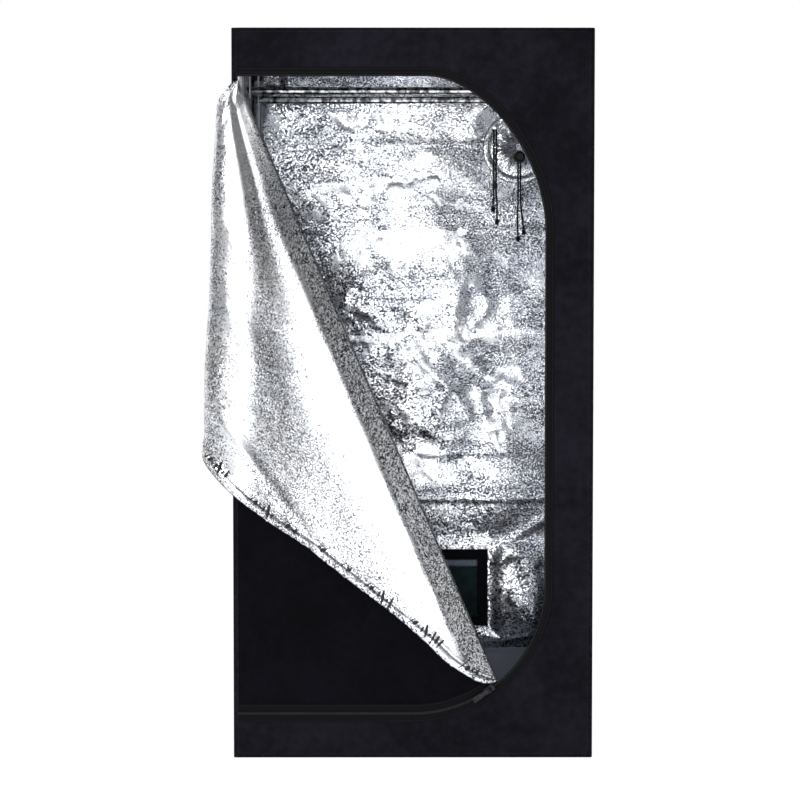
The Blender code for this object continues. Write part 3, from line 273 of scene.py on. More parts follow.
class Nodes:
    """A short way to write a material's nodes, or those of another tree of shader nodes."""

    def __init__(self, name, tree=None):
        if tree is None:
            self.look = bpy.data.materials.new(name)
            self.look.use_nodes = True
            tree = self.look.node_tree
            self.shader = tree.nodes["Principled BSDF"]
        self.tree = tree

    def add(self, kind, settings=None, **values):
        """Adds a node. The input _0 is the first one, and Base_Color is the one called Base Color."""
        inputs = {int(key[1:]) if key[0] == "_" else key.replace("_", " "): value for key, value in values.items()}
        return add_node(self.tree, "ShaderNode" + kind, settings, inputs)

    def math(self, operation, a, b=0.0, clamp=False):
        node = self.add("Math", {"operation": operation, "use_clamp": clamp}, _0=a, _1=b)
        return node.outputs[0]

    def span(self, value, low, high, to_low=0.0, to_high=1.0):
        return self.add("MapRange", {"interpolation_type": "SMOOTHSTEP"}, Value=value, From_Min=low, From_Max=high,
                        To_Min=to_low, To_Max=to_high).outputs[0]

    def mix(self, share, a, b):
        return self.add("Mix", {"data_type": "RGBA"}, Factor=share, _6=a, _7=b).outputs[2]

    def between(self, share, a, b):
        """A number between two others."""
        return self.add("Mix", {"data_type": "FLOAT"}, _0=share, _2=a, _3=b).outputs[0]

    def flat_map(self):
        """The cloth's flat position in metres."""
        return self.add("UVMap", {"uv_map": "cloth"}).outputs[0]

    def place(self):
        return self.add("TexCoord").outputs["Object"]

    def noise(self, at, scale, detail=2.0, rough=0.5, distort=0.0):
        node = self.add("TexNoise", None, Vector=at, Scale=scale, Detail=detail, Roughness=rough, Distortion=distort)
        return node.outputs["Fac"]

    def bump(self, height, distance, strength=1.0, normal=None):
        node = self.add("Bump", None, Height=height, Distance=distance, Strength=strength)
        if normal is not None:
            put(self.tree, node.inputs["Normal"], normal)
        return node.outputs["Normal"]

    def shade(self, **values):
        for key, value in values.items():
            put(self.tree, self.shader.inputs[key.replace("_", " ")], value)
        return self.look


print("a tint of 0.5 and its shades:", shades((0.5,), 0.8, 1.2))

# %% [markdown]
# ## The black outer cloth
# Outside, the cover is a tightly woven black cloth with a faint sheen. Two sine waves that cross make
# the weave, and slow noise makes it a little uneven. Black cloth still reflects some light, so its
# colour is a very dark grey with a trace of violet, never zero.

# %% Black outer cloth
def black_cloth(name, tint=(0.0105, 0.0098, 0.0150), sheen=0.0):
    n = Nodes(name)
    at = n.flat_map()
    parts = n.add("SeparateXYZ", None, Vector=at)
    pitch = 2 * math.pi / 0.0011
    warp = n.math("SINE", n.math("MULTIPLY", parts.outputs[0], pitch))
    weft = n.math("SINE", n.math("MULTIPLY", parts.outputs[1], pitch))
    weave = n.math("ADD", n.math("ABSOLUTE", warp), n.math("ABSOLUTE", weft))
    slub = n.noise(at, 55.0, 4.0, 0.6)
    cloud = n.noise(at, 6.0, 3.0, 0.55)
    dark, light = shades(tint, 0.55, 1.50)
    colour = n.mix(n.span(n.math("ADD", n.math("MULTIPLY", slub, 0.45), n.math("MULTIPLY", cloud, 0.55)), 0.36, 0.64),
                   dark, light)
    soft = n.noise(at, 9.0, 3.0, 0.5, 0.6)
    crush = n.noise(at, 34.0, 3.0, 0.55, 0.4)
    normal = n.bump(soft, 0.020, 0.8)
    normal = n.bump(crush, 0.0022, 0.30, normal)
    normal = n.bump(weave, 0.00022, 0.55, normal)
    rough = n.span(slub, 0.3, 0.7, 0.55, 0.68)
    return n.shade(Base_Color=colour, Roughness=rough, Normal=normal, Sheen_Weight=sheen, Sheen_Roughness=0.45,
                   Sheen_Tint=(0.80, 0.82, 1.0, 1.0), Specular_IOR_Level=0.05)


outer_black = black_cloth("outer_cloth")
# Painted shade: the door's copy of the black cloth has a darker tint, for the door hangs low and in the flap's shadow.
door_black_painted_shade = black_cloth("door_cloth_painted_shade", tint=(0.0034, 0.0031, 0.0055))
print("black cloths:", outer_black.name, door_black_painted_shade.name)

# %% [markdown]
# ## The silver lining
# Inside, the cloth carries a film of aluminium with a pebbled embossing. Its salt-and-pepper look is
# partly real and partly painted: each small facet is tilted in the bump and mirrors another part of the
# room, and dark dots are painted into the colour as painted shade and dark reflection in the pits. Slow
# noise makes the painted dots gather in patches, and the patches without dots show as painted bright
# patches. The value stretch draws those patches out to one side, and density gives the least and the
# largest share of painted dots. Where a piece says that it is taut, the facets are pulled flat and the
# painted dots are mostly cleared, which paints a highlight there.

# %% Silver lining
FOIL_ROUGHNESS = 0.24


def silver_lining(name, painted_speck=1.0, crumple=1.0, bright=(0.955, 0.962, 0.985), dark=(0.050, 0.054, 0.070), cell=430.0,
                  scatter=0.30, stretch=(1.0, 1.0), density=(0.30, 0.56)):
    n = Nodes(name)
    at = n.flat_map()
    drawn = n.add("VectorMath", {"operation": "MULTIPLY"}, _0=at, _1=(*stretch, 1.0)).outputs[0]
    # Taut places lose most painted dots, a painted highlight, and much bump scatter, the flattened facets.
    taut_and_painted_highlight = n.add("Attribute", {"attribute_name": "taut_and_painted_highlight"}).outputs["Fac"]
    slack = n.math("SUBTRACT", 1.0, n.math("MULTIPLY", taut_and_painted_highlight, 0.90))
    # The dark dots picked below are painted shade and painted dark reflection in the pits, not a colour of the foil.
    cells = n.add("TexVoronoi", {"voronoi_dimensions": "2D"}, Vector=at, Scale=cell, Randomness=1.0)
    chance = n.add("SeparateColor", None, Color=cells.outputs["Color"]).outputs[0]
    patchy = n.noise(drawn, 13.0, 3.0, 0.6, 0.8)
    amount = n.math("MULTIPLY", n.span(patchy, 0.30, 0.70, density[0] * painted_speck, density[1] * painted_speck), slack)
    painted_pit_dots = n.span(n.math("SUBTRACT", amount, chance), -0.04, 0.04)
    dot = n.math("SUBTRACT", 1.0, n.span(cells.outputs["Distance"], 0.44, 0.66))
    share = n.math("MULTIPLY", painted_pit_dots, dot, True)
    shaded = (bright[0] * 0.92, bright[1] * 0.94, bright[2] * 0.97, 1)
    cool = n.mix(n.span(n.noise(at, 7.0, 2.0), 0.35, 0.65), (*bright, 1), shaded)
    # Painted shade: the picked cells take the dark colour.
    colour = n.mix(share, cool, (*dark, 1))
    fold = n.noise(at, 11.0, 4.0, 0.55, 1.2)
    ridge = n.math("ABSOLUTE", n.math("SUBTRACT", n.noise(at, 26.0, 3.0, 0.55, 1.8), 0.5))
    normal = n.bump(fold, 0.012 * crumple, 0.5)
    normal = n.bump(n.math("SUBTRACT", 0.5, ridge), 0.0030 * crumple, 0.5, normal)
    tilt = n.add("VectorMath", {"operation": "SUBTRACT"}, _0=cells.outputs["Color"], _1=(0.5, 0.5, 0.5)).outputs[0]
    strength = n.math("MULTIPLY", slack, scatter)
    tilt = n.add("VectorMath", {"operation": "SCALE"}, _0=tilt, Scale=strength).outputs[0]
    facing = n.add("VectorMath", {"operation": "ADD"}, _0=normal, _1=tilt).outputs[0]
    facing = n.add("VectorMath", {"operation": "NORMALIZE"}, _0=facing).outputs[0]
    roughness = n.span(patchy, 0.3, 0.7, FOIL_ROUGHNESS * 0.9, FOIL_ROUGHNESS * 1.2)
    return n.shade(Base_Color=colour, Metallic=0.94, Roughness=roughness, Normal=facing)


# The walls' lining and the door's lining are one foil: the walls' copy is darker and more dotted, a shaded copy, and
# the door's is brighter, a lit copy, both with painted dots.
lining = silver_lining("silver_lining", painted_speck=1.30, crumple=0.22, bright=(0.845, 0.862, 0.900),
                       dark=(0.050, 0.055, 0.075), cell=410.0, scatter=0.15, stretch=(0.40, 1.35),
                       density=(0.12, 0.76))
door_lining = silver_lining("door_lining", painted_speck=1.10, crumple=0.28, cell=520.0, scatter=0.20)
print("finishes:", [m.name for m in bpy.data.materials])

# %% [markdown]
# ## The outline of the door opening
# Every strip round the opening follows the same outline: along the top, round the upper right corner
# (a superellipse), down the right edge, and round the lower right circle to the zip slider. From there
# the zip is still closed, along the bottom to the hinge side.

# %% Door outline
def upper_corner(steps):
    across = OPENING_RIGHT - TOP_RUN_END
    points = []
    for step in range(steps + 1):
        angle = math.pi / 2 * (1 - step / steps)
        x = TOP_RUN_END + across * max(math.cos(angle), 0) ** (2 / CORNER_POWER)
        z = OPENING_TOP - CORNER_DROP * (1 - max(math.sin(angle), 0) ** (2 / CORNER_POWER))
        points.append(Vector((x, z)))
    return points


def lower_arc(start, end, steps):
    angles = [start + (end - start) * step / steps for step in range(steps + 1)]
    return [LOWER_CENTRE + LOWER_RADIUS * Vector((math.cos(a), math.sin(a))) for a in angles]


def evenly(points, step):
    """The same path with points at equal steps of about the given length."""
    places = np.array([tuple(p) for p in points])
    lengths = run_along(places)
    count = max(2, round(lengths[-1] / step) + 1)
    marks = np.linspace(0, lengths[-1], count)
    return np.stack([np.interp(marks, lengths, places[:, axis]) for axis in range(places.shape[1])], axis=1)


top_left = Vector((HINGE_X, OPENING_TOP))
open_edge = [top_left, *upper_corner(60), *lower_arc(0, TIP_ANGLE, 40)]
closed_edge = [*lower_arc(TIP_ANGLE, -math.pi / 2, 40), Vector((HINGE_X, OPENING_BOTTOM))]
tip = open_edge[-1]
FOLD_LENGTH = (tip - top_left).length
FOLD_ALONG = (tip - top_left).normalized()
FOLD_ACROSS = Vector((-FOLD_ALONG.y, FOLD_ALONG.x))
print("fold line:", round(FOLD_LENGTH, 4), "m, tip at", [round(v, 4) for v in tip])

# %% [markdown]
# ## The cover's panels
# Six panels are sewn into a box. A panel on the real tent hangs between the poles, so it bows a
# little and keeps the creases of the carton it came in. Each is a grid whose points move in and out by
# a few millimetres, and its rim stays where the seams hold it. A panel may only move in as far as there
# is room over the poles and connectors behind it. Displacing a grid in code was chosen over a cloth
# simulation, because the creases in the photograph sit at known heights.

# %% Panel maker
def room_inside(u, v, size):
    """How far a panel may move in: the poles run along its rim, and the connectors fill its corners."""
    side, level = np.minimum(u, size[0] - u), np.minimum(v, size[1] - v)
    over_poles = 0.0018 + 0.020 * ease(np.minimum(side, level), 0.023, 0.045)
    over_connectors = 0.0001 + 0.020 * ease(np.maximum(side, level), 0.053, 0.085)
    return np.minimum(over_poles, over_connectors)


def panel(name, node, looks, size, place, bow, keep=None, step=0.005, lines=((), ()), taut_and_painted_highlight=None):
    """A panel of size (across, up). place(u, v, inward) gives its points, and bow(u, v) how far they move in."""
    def marks(length, wanted):
        plain_marks = np.linspace(0, length, round(length / step) + 1)
        for line in wanted:
            plain_marks[np.argmin(abs(plain_marks - line))] = line
        return plain_marks

    across, up = marks(size[0], lines[0]), marks(size[1], lines[1])
    u, v = np.meshgrid(across, up)
    rim = np.minimum(np.minimum(u, size[0] - u), np.minimum(v, size[1] - v))
    points = place(u, v, np.minimum(bow(u, v) * ease(rim, 0.0, 0.030), room_inside(u, v, size)))
    shown = None
    if keep is not None:
        centre_u, centre_v = (u[:-1, :-1] + u[1:, 1:]) / 2, (v[:-1, :-1] + v[1:, 1:]) / 2
        shown = keep(centre_u, centre_v).reshape(-1)
    made = sheet_piece(name, points, np.stack([u, v], axis=-1), looks, shown, taut_and_painted_highlight=taut_and_painted_highlight and taut_and_painted_highlight(u, v))
    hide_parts(node)
    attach(made, "tent")
    print(name, len(made.data.polygons), "faces")
    return made


def soft(u, v, seed, depth=0.0022):
    """A gentle lie for the panels that show little of the lining."""
    waves = noise(u, v, 0.28, seed) + 0.5 * noise(u, v, 0.11, seed + 1)
    return depth * waves + depth * 0.35 * creases(u, v, 0.16, seed + 2)


print("room in the middle of a wall:", round(float(room_inside(SIDE, HEIGHT / 2, (WIDTH, HEIGHT))), 4), "m")


# %% [markdown]
# ## The back wall
# The back wall is what the open door shows, so it gets the most care. Packed in its carton, the tent
# was folded at even heights, and the film remembers that: under each fold line the cloth leans
# back towards the light and shows a white band, then turns down again and goes grey. The white of
# each band is partly painted: there the film is marked as taut, which clears the painted dark dots and
# paints a highlight. The rectangular vent and the round duct port are left out of the grid.

# %% Back wall
def fold_bands(x, z):
    """White bands under the carton's fold lines, as a lean and as a taut mask that clears the painted dark dots and so
    paints a highlight: (left, right, top, height, lean, slope of the top edge).
    """
    total, taut_and_painted_highlight = np.zeros_like(x), np.zeros_like(x)
    bands = (
        (-0.175, -0.010, 1.112, 0.045, 0.0030, 0.00), (-0.195, 0.065, 0.979, 0.062, 0.0046, 0.07),
        (-0.140, 0.120, 0.884, 0.090, 0.0074, 0.04), (-0.022, 0.120, 0.703, 0.100, 0.0086, -0.05),
        (0.138, 0.205, 0.620, 0.190, 0.0045, 0.10), (-0.120, 0.010, 0.690, 0.070, 0.0040, 0.05),
        (-0.060, 0.060, 0.470, 0.070, 0.0040, 0.00), (0.105, 0.170, 1.131, 0.050, 0.0032, -0.30),
    )
    for left, right, top, height, lean, slope in bands:
        edge = top + slope * (x - left) + 0.005 * noise(x, z, 0.05, 91)
        below = (edge - z) / height
        rise = 1 - np.clip(1 - below, 0, 1) ** 1.6
        fall = 1 - ease(below, 1.0, 2.8)
        sides = ease(x, left - 0.05, left + 0.06) * (1 - ease(x, right - 0.06, right + 0.05))
        total += lean * np.where(below < 0, 0, rise * fall) * sides
        # From here the taut mask paints the band's highlight by clearing the painted dark dots.
        ragged = below + 0.75 * noise(x, 1.6 * z, 0.045, 92) + 0.35 * noise(x, z, 0.016, 97)
        flat_part = np.where(below < 0, 0, 1 - ease(ragged, 0.40, 0.90))
        taut_and_painted_highlight = np.maximum(taut_and_painted_highlight, flat_part * ease(sides + 0.5 * noise(x, z, 0.025, 98), 0.35, 0.80))
    split = ease(creases(x, 0.8 * z, 0.034, 99), 0.86, 0.97)
    return total - 0.0012 * split * taut_and_painted_highlight, taut_and_painted_highlight * (1 - 0.7 * split)


def fold_lines(x, z):
    """The carton's creases: a fine step at each height, with the cloth a little fuller between them."""
    total = np.zeros_like(z)
    heights = (0.0, 0.285, 0.379, 0.467, 0.677, 0.890, 1.050, 1.220)
    for low, high in zip(heights, heights[1:]):
        share = np.clip((z - low + 0.003 * noise(x, z, 0.12, 17)) / (high - low), 0, 1)
        total += 0.0016 * np.sin(math.pi * share) ** 0.6
    return total


def ridge(x, z, route, width, height):
    """A sharp fold along a route of (x, z) points, as high as height and fading over width to each side."""
    nearest = np.full_like(x, 9.0)
    for (ax, az), (bx, bz) in zip(route, route[1:]):
        length = (bx - ax) ** 2 + (bz - az) ** 2
        share = np.clip(((x - ax) * (bx - ax) + (z - az) * (bz - az)) / length, 0, 1)
        nearest = np.minimum(nearest, np.hypot(x - ax - share * (bx - ax), z - az - share * (bz - az)))
    return height * np.clip(1 - nearest / width, 0, 1) ** 1.3


WALL_RIDGES = (
    (((0.152, 0.244), (0.187, 0.274), (0.217, 0.282), (0.244, 0.263)), 0.020, 0.0052),
    (((0.206, 0.270), (0.229, 0.240), (0.247, 0.202)), 0.018, 0.0050),
    (((0.194, 0.190), (0.206, 0.175), (0.172, 0.133)), 0.016, 0.0046),
    (((0.134, 0.125), (0.168, 0.110), (0.191, 0.114), (0.225, 0.121)), 0.010, 0.0050),
    (((0.251, 0.339), (0.177, 0.291)), 0.014, 0.0036),
    (((0.253, 0.568), (0.134, 0.622)), 0.012, 0.0030), (((0.253, 0.562), (0.130, 0.587)), 0.011, 0.0026),
    (((0.253, 0.556), (0.137, 0.549)), 0.012, 0.0032), (((0.253, 0.550), (0.153, 0.511)), 0.011, 0.0026),
    (((-0.30, 0.679), (-0.02, 0.681), (0.12, 0.676), (0.30, 0.678)), 0.010, 0.0034),
    (((-0.30, 0.468), (0.05, 0.466), (0.30, 0.470)), 0.009, 0.0030),
    (((-0.30, 0.380), (0.10, 0.379), (0.30, 0.381)), 0.010, 0.0044),
    (((-0.30, 0.890), (0.02, 0.893), (0.30, 0.889)), 0.009, 0.0026),
    (((-0.30, 1.050), (0.05, 1.052), (0.30, 1.049)), 0.009, 0.0024),
    (((-0.10, 0.744), (-0.04, 0.700), (0.02, 0.708)), 0.016, 0.0030),
    (((0.02, 0.640), (0.07, 0.590), (0.05, 0.545)), 0.014, 0.0034),
)


def back_bow(u, v):
    x, z = SIDE - u, v
    rough_zone = ease(-abs(x - 0.02), -0.22, -0.10) * ease(z, 0.40, 0.50) * (1 - ease(z, 0.78, 0.86))
    waves = 0.0026 * noise(x, z, 0.23, 5) + 0.0009 * noise(x, 1.3 * z, 0.09, 6)
    waves = waves + 0.0060 * np.exp(-((z - 1.135) / 0.040) ** 2)
    crush = (0.0003 + 0.0014 * rough_zone) * creases(x, 1.2 * z, 0.070, 7)
    crush = crush + (0.0001 + 0.0004 * rough_zone) * creases(x, z, 0.030, 8)
    droop = -0.0040 * ease(z, 0.285, 0.300) * (1 - ease(z, 0.300, 0.379))
    sag = 0.010 * (1 - ease(z, 0.15, 0.36)) * ease(z, 0.10, 0.14) * (1 - ease(abs(x), 0.225, 0.262))
    bow = waves + crush + droop + fold_bands(x, z)[0] + fold_lines(x, z)
    for route, width, height in WALL_RIDGES:
        bow = bow + ridge(x + 0.004 * noise(x, z, 0.04, 95), z, route, width, 0.50 * height)
    port = np.hypot(x - PORT_X, z - PORT_LEVEL)
    vent = np.maximum(abs(x) - VENT_HALF, np.maximum(VENT_LOW - z, z - VENT_HIGH))
    held = bow * ease(vent, 0.0, 0.030) + sag * ease(vent, 0.0, 0.090)
    return held * ease(port, PORT_RADIUS + 0.010, PORT_RADIUS + 0.050)


def back_taut_and_painted_highlight(u, v):
    """Where the wall's film is pulled flat and its painted dark dots are cleared, painting a highlight: below the
    folds, and in small islands between them.
    """
    x, z = SIDE - u, v
    islands = ease(noise(x, 1.4 * z, 0.060, 93) + 0.4 * noise(x, z, 0.022, 94), 0.34, 0.62) * ease(z, 0.40, 0.48)
    return np.maximum(fold_bands(x, z)[1], 0.9 * islands)


def back_keep(u, v):
    x, z = SIDE - u, v
    in_vent = (abs(x) < VENT_HALF - VENT_BAND) & (z > VENT_LOW + VENT_BAND) & (z < VENT_HIGH - VENT_BAND)
    in_port = np.hypot(x - PORT_X, z - PORT_LEVEL) < PORT_RADIUS + 0.003
    return ~(in_vent | in_port)


def back_place(u, v, inward):
    return np.stack([SIDE - u, BACK - inward, v], axis=-1)


vent_lines = [[SIDE - VENT_HALF + VENT_BAND, SIDE + VENT_HALF - VENT_BAND],
              [VENT_LOW + VENT_BAND, VENT_HIGH - VENT_BAND]]
back_wall = panel("back_wall_cloth", "back_wall", (outer_black, lining), (WIDTH, HEIGHT), back_place, back_bow,
                  back_keep, 0.0045, vent_lines, back_taut_and_painted_highlight)

# %% [markdown]
# ## Side walls, roof and floor
# The same maker serves these four. The side walls show their lining through the door as dark, glossy
# strips, and their black outside from the left and the right.

# %% Side walls, roof and floor
def left_place(u, v, inward):
    return np.stack([-SIDE + inward, BACK - u, v], axis=-1)


def right_place(u, v, inward):
    return np.stack([SIDE - inward, FRONT + u, v], axis=-1)


def roof_place(u, v, inward):
    return np.stack([u - SIDE, FRONT + v, HEIGHT - inward], axis=-1)


def floor_place(u, v, inward):
    return np.stack([SIDE - u, FRONT + v, inward], axis=-1)


def side_bow(seed):
    """The lie of a side wall: it bows freely low down and is held nearly straight at the top."""
    def bow(u, v):
        return (0.002 + soft(u, v, seed, 0.0030) + 0.7 * fold_lines(u, v)) * (1 - 0.85 * ease(v, 0.96, 1.08))

    return bow


def roof_bow(u, v):
    return 0.006 * np.sin(math.pi * u / WIDTH) * np.sin(math.pi * v / DEPTH) + soft(u, v, 41, 0.0018)


def floor_bow(u, v):
    return 0 * u


BOX_PANELS = (
    ("left_wall_cloth", "left_wall", (DEPTH, HEIGHT), left_place, side_bow(21), 0.006),
    ("right_wall_cloth", "right_wall", (DEPTH, HEIGHT), right_place, side_bow(31), 0.006),
    ("roof_cloth", "roof_panel", (WIDTH, DEPTH), roof_place, roof_bow, 0.006),
    ("floor_cloth", "floor_panel", (WIDTH, DEPTH), floor_place, floor_bow, 0.012),
)
for name, node, size, place, bow, step in BOX_PANELS:
    piece = panel(name, node, (outer_black, lining), size, place, bow, step=step)

# %% [markdown]
# ## The front panel
# The front is a frame of cloth round the D. A grid of squares would leave a stepped edge at the corners,
# so this panel's grid runs in rings instead: the innermost ring lies on the zip's line and the outermost
# on the panel's own rim.

# %% Front panel
MIDDLE = np.array([-0.04, 0.62])


def ring_start():
    """Matching points round the opening and round the panel's rim, seen from a point inside the D."""
    inner = evenly([*open_edge, *closed_edge[1:], top_left], 0.005)
    outer = []
    for x, z in inner:
        away = np.array([x, z]) - MIDDLE
        reach = min((SIDE + 0.04 if away[0] > 0 else SIDE - 0.04) / max(abs(away[0]), 1e-6),
                    (HEIGHT - 0.62 if away[1] > 0 else 0.62) / max(abs(away[1]), 1e-6))
        outer.append(MIDDLE + away * reach)
    outer = np.array(outer)
    for corner in ((-SIDE, 0), (SIDE, 0), (SIDE, HEIGHT), (-SIDE, HEIGHT)):
        nearest = np.argmin(np.hypot(outer[:, 0] - corner[0], outer[:, 1] - corner[1]))
        outer[nearest] = corner
    outer[-1] = outer[0]
    return inner, outer


inner_ring, outer_ring = ring_start()
shares = np.linspace(0, 1, 19)[:, None, None]
front_flat = inner_ring[None] * (1 - shares) + outer_ring[None] * shares
fx, fz = front_flat[..., 0], front_flat[..., 1]
from_rim = np.minimum(np.minimum(fx + SIDE, SIDE - fx), np.minimum(fz, HEIGHT - fz))
from_zip = np.hypot(fx - inner_ring[None, :, 0], fz - inner_ring[None, :, 1])
front_bow = 0.0016 * noise(fx, fz, 0.16, 61) + 0.0008 * creases(fx, fz, 0.07, 62) + 0.0006 * noise(fx, fz, 0.05, 63)
front_bow = front_bow * ease(from_rim, 0.0, 0.03) * ease(from_zip, 0.016, 0.05)
front_bow = np.minimum(front_bow, room_inside(fx + SIDE, fz, (WIDTH, HEIGHT)))
front_points = np.stack([fx, FRONT + front_bow, fz], axis=-1)
front = sheet_piece("front_cloth", front_points, front_flat, (outer_black, lining))
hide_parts("front_panel")
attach(front, "tent")
print("front panel:", len(front.data.polygons), "faces")

# %% [markdown]
# ## The folded door
# The door is still joined to the tent at its hinge side and along the closed zip. Folding the free part
# over mirrors it about the straight line from the top left corner to the zip slider. Seen from above,
# the cloth leaves the front panel, rolls round, lies in a shallow valley, swells out in front, and turns
# back round the tent's left side. That path is worked out for many heights, and each point of the
# mirrored door is laid along it at its own distance from the fold, so the cloth bends and never stretches.

# %% The path of the door cloth, seen from above
ROLL = 0.008
ROLL_REACH = ROLL / FOLD_ACROSS.x
PANEL_BACK = FRONT + 0.0010
ROLL_Y = PANEL_BACK - ROLL
QUARTER = math.pi / 2


def soft_min(a, b, blend):
    return -blend * math.log(math.exp(-a / blend) + math.exp(-b / blend))


def fold_x(z):
    return top_left.x + (top_left.y - z) * FOLD_ALONG.x / -FOLD_ALONG.y


def smooth_path(points, steps):
    """Points on a Catmull-Rom curve through the given ones."""
    ends = [2 * points[0] - points[1], *points, 2 * points[-1] - points[-2]]
    route = []
    for before, start, end, after in zip(ends, ends[1:], ends[2:], ends[3:]):
        for step in range(steps):
            t = step / steps
            route.append(0.5 * (2 * start + (end - before) * t + (2 * before - 5 * start + 4 * end - after) * t ** 2
                                + (3 * start - before - 3 * end + after) * t ** 3))
    return [*route, points[-1]]


SHOULDER_SLOPE = 0.46


def side_turn(z):
    """How far left the flap's turned side stands at a height."""
    below = max(top_left.y - z, 0)
    return -SIDE - (0.0245 + 0.0415 * below) * (1 - math.exp(-(below + 0.0003) / 0.025))


def plan_path(z):
    """The cloth's path from the back of the roll to the tent's left side, as (x, y) points."""
    below = max(top_left.y - z, 0)
    centre_x = fold_x(z) - ROLL_REACH
    turn_x = side_turn(z)
    bulge = 0.046 * (1 - math.exp(-below / 0.300))
    behind = soft_min(0.060, 0.40 * (centre_x - turn_x), 0.006)
    crest = Vector((turn_x + max(behind, 0.001), ROLL_Y - ROLL - bulge))
    room_across = max(centre_x - crest.x, 0.001)
    full = min(room_across / 0.10, 1)
    last_angle = QUARTER - math.atan(SHOULDER_SLOPE * full)
    path = []
    for step in range(17):
        angle = -QUARTER + (QUARTER + last_angle) * step / 16
        path.append(Vector((centre_x + ROLL_REACH * math.cos(angle), ROLL_Y - ROLL * math.sin(angle))))
    across = max(path[-1].x - crest.x, 0.001)
    width = min(0.036, 0.42 * across)
    marks = np.linspace(0, across, 61)
    shoulder = SHOULDER_SLOPE * full * (1 - ease(marks, 0.72 * width, 1.12 * width))
    climb = ease(marks, max(1.2 * width, 0.35 * across), 0.70 * across)
    climb = climb * (1 - ease(marks, across - min(0.035, 0.3 * across), across))
    depth = path[-1].y - crest.y - (shoulder[:-1].sum() + 0.03 * 60) * across / 60
    slope = shoulder + 0.03 + climb * depth / max(climb[:-1].sum() * across / 60, 1e-6)
    profile = np.concatenate([[0], np.cumsum(slope[:-1]) * across / 60])
    path += [Vector((path[-1].x - mark, path[-1].y - rise)) for mark, rise in zip(marks[1:], profile[1:])]
    before = path[-1 - round(20 * min(behind / 0.03, 1))]
    turn_point = Vector((turn_x, FRONT - 0.42 * bulge))
    side_x = -SIDE - max(soft_min(0.012, 0.80 * (-SIDE - turn_x), 0.001), 0.0008)
    sides = [Vector((side_x, FRONT + 0.070)), Vector((side_x, FRONT + 0.500))]
    return path + smooth_path([before, path[-1], turn_point, *sides], 30)[31:]


PATH_STEP = 0.002
PATH_LEVELS = np.linspace(tip.y - 0.004, top_left.y, 521)
paths = []
for level in PATH_LEVELS:
    route = np.array([tuple(p) for p in plan_path(level)])
    along = run_along(route)
    marks = np.arange(0, 0.80, PATH_STEP)
    paths.append(np.stack([np.interp(marks, along, route[:, axis]) for axis in (0, 1)], axis=1))
paths = np.array(paths)
ROLL_RUN = math.pi * ROLL
print("door paths:", paths.shape, "roll run:", round(ROLL_RUN, 4), "m")


def bent(run, z):
    """Where the cloth is at a run (the distance from the back of the roll) and a height."""
    level = np.clip((z - PATH_LEVELS[0]) / (PATH_LEVELS[1] - PATH_LEVELS[0]), 0, len(PATH_LEVELS) - 1.001)
    mark = np.clip(run / PATH_STEP, 0, paths.shape[1] - 1.001)
    i, k = np.floor(level).astype(int), np.floor(mark).astype(int)
    a, b = (level - i)[..., None], (mark - k)[..., None]
    low = paths[i, k] * (1 - b) + paths[i, k + 1] * b
    high = paths[i + 1, k] * (1 - b) + paths[i + 1, k + 1] * b
    spot = low * (1 - a) + high * a
    return np.stack([spot[..., 0], spot[..., 1], z], axis=-1)


def raised(points, lift):
    """Grid points moved along the grid's own normals."""
    rows, columns = np.gradient(points, axis=0), np.gradient(points, axis=1)
    normal = np.cross(rows, columns)
    normal /= np.maximum(np.linalg.norm(normal, axis=-1, keepdims=True), 1e-12)
    return points + normal * lift[..., None]


# %% [markdown]
# ## The free flap
# The flap's rows run square to the fold, each from the roll to the free edge. In its lower half the
# edge is turned under, by up to 49 mm. Three kinds of detail sit on the flap: gathers where it is
# bunched at the top corner, a few long soft pulls, and the puckered hem. The hem's thread is tighter
# than the film, so the film rises in small ridges across the seam. Two long bands, one beside the fold
# and one beside the turned side, are marked as taut: their facets lie flatter and their painted dark
# dots are cleared, so they show as painted highlights.

# %% Free flap
HEM = 0.016
edge_places = [((p - top_left).dot(FOLD_ALONG), (p - top_left).dot(FOLD_ACROSS)) for p in open_edge]
edge_along = np.array([a for a, _ in edge_places])
edge_across = np.array([b for _, b in edge_places])
TURNED = ((0.0, 0.0), (0.60, 0.0), (0.70, 0.013), (0.762, 0.027), (0.857, 0.036), (0.9415, 0.045), (1.01, 0.049),
          (1.05, 0.045), (1.0735, 0.036), (1.088, 0.022), (1.098, 0.008), (1.2, 0.0))
TURN_RADIUS = 0.0035
FLAP_TOP, FLAP_END = 0.0065, FOLD_LENGTH - 0.0070
rows = np.concatenate([np.linspace(FLAP_TOP, 0.06, 24)[:-1], np.linspace(0.06, FLAP_END, 262)])
reach = np.interp(rows, edge_along, edge_across)
tucked = np.minimum(np.interp(rows, *zip(*TURNED)), 0.36 * reach)[:, None]
seam_run = 0.42 * ROLL_RUN
shares = np.linspace(0, 1, 131)[None]
hem_share = np.clip(HEM * 1.35 / np.maximum(reach, 1e-3), 0, 0.5)[:, None]
packed = np.where(shares < 0.84, shares / 0.84 * (1 - hem_share), 1 - hem_share + (shares - 0.84) / 0.16 * hem_share)
start_across = (seam_run - QUARTER * ROLL) * FOLD_ACROSS.x
flap_along = np.repeat(rows[:, None], 131, axis=1)
flap_across = start_across + (reach[:, None] - start_across) * packed


def cloth_at(along, across):
    """Where a place of the flap lies, before its edge is turned under."""
    flat_x = top_left.x + FOLD_ALONG.x * along - FOLD_ACROSS.x * across
    flat_z = top_left.y + FOLD_ALONG.y * along - FOLD_ACROSS.y * across
    return bent(fold_x(flat_z) - flat_x + QUARTER * ROLL, flat_z)


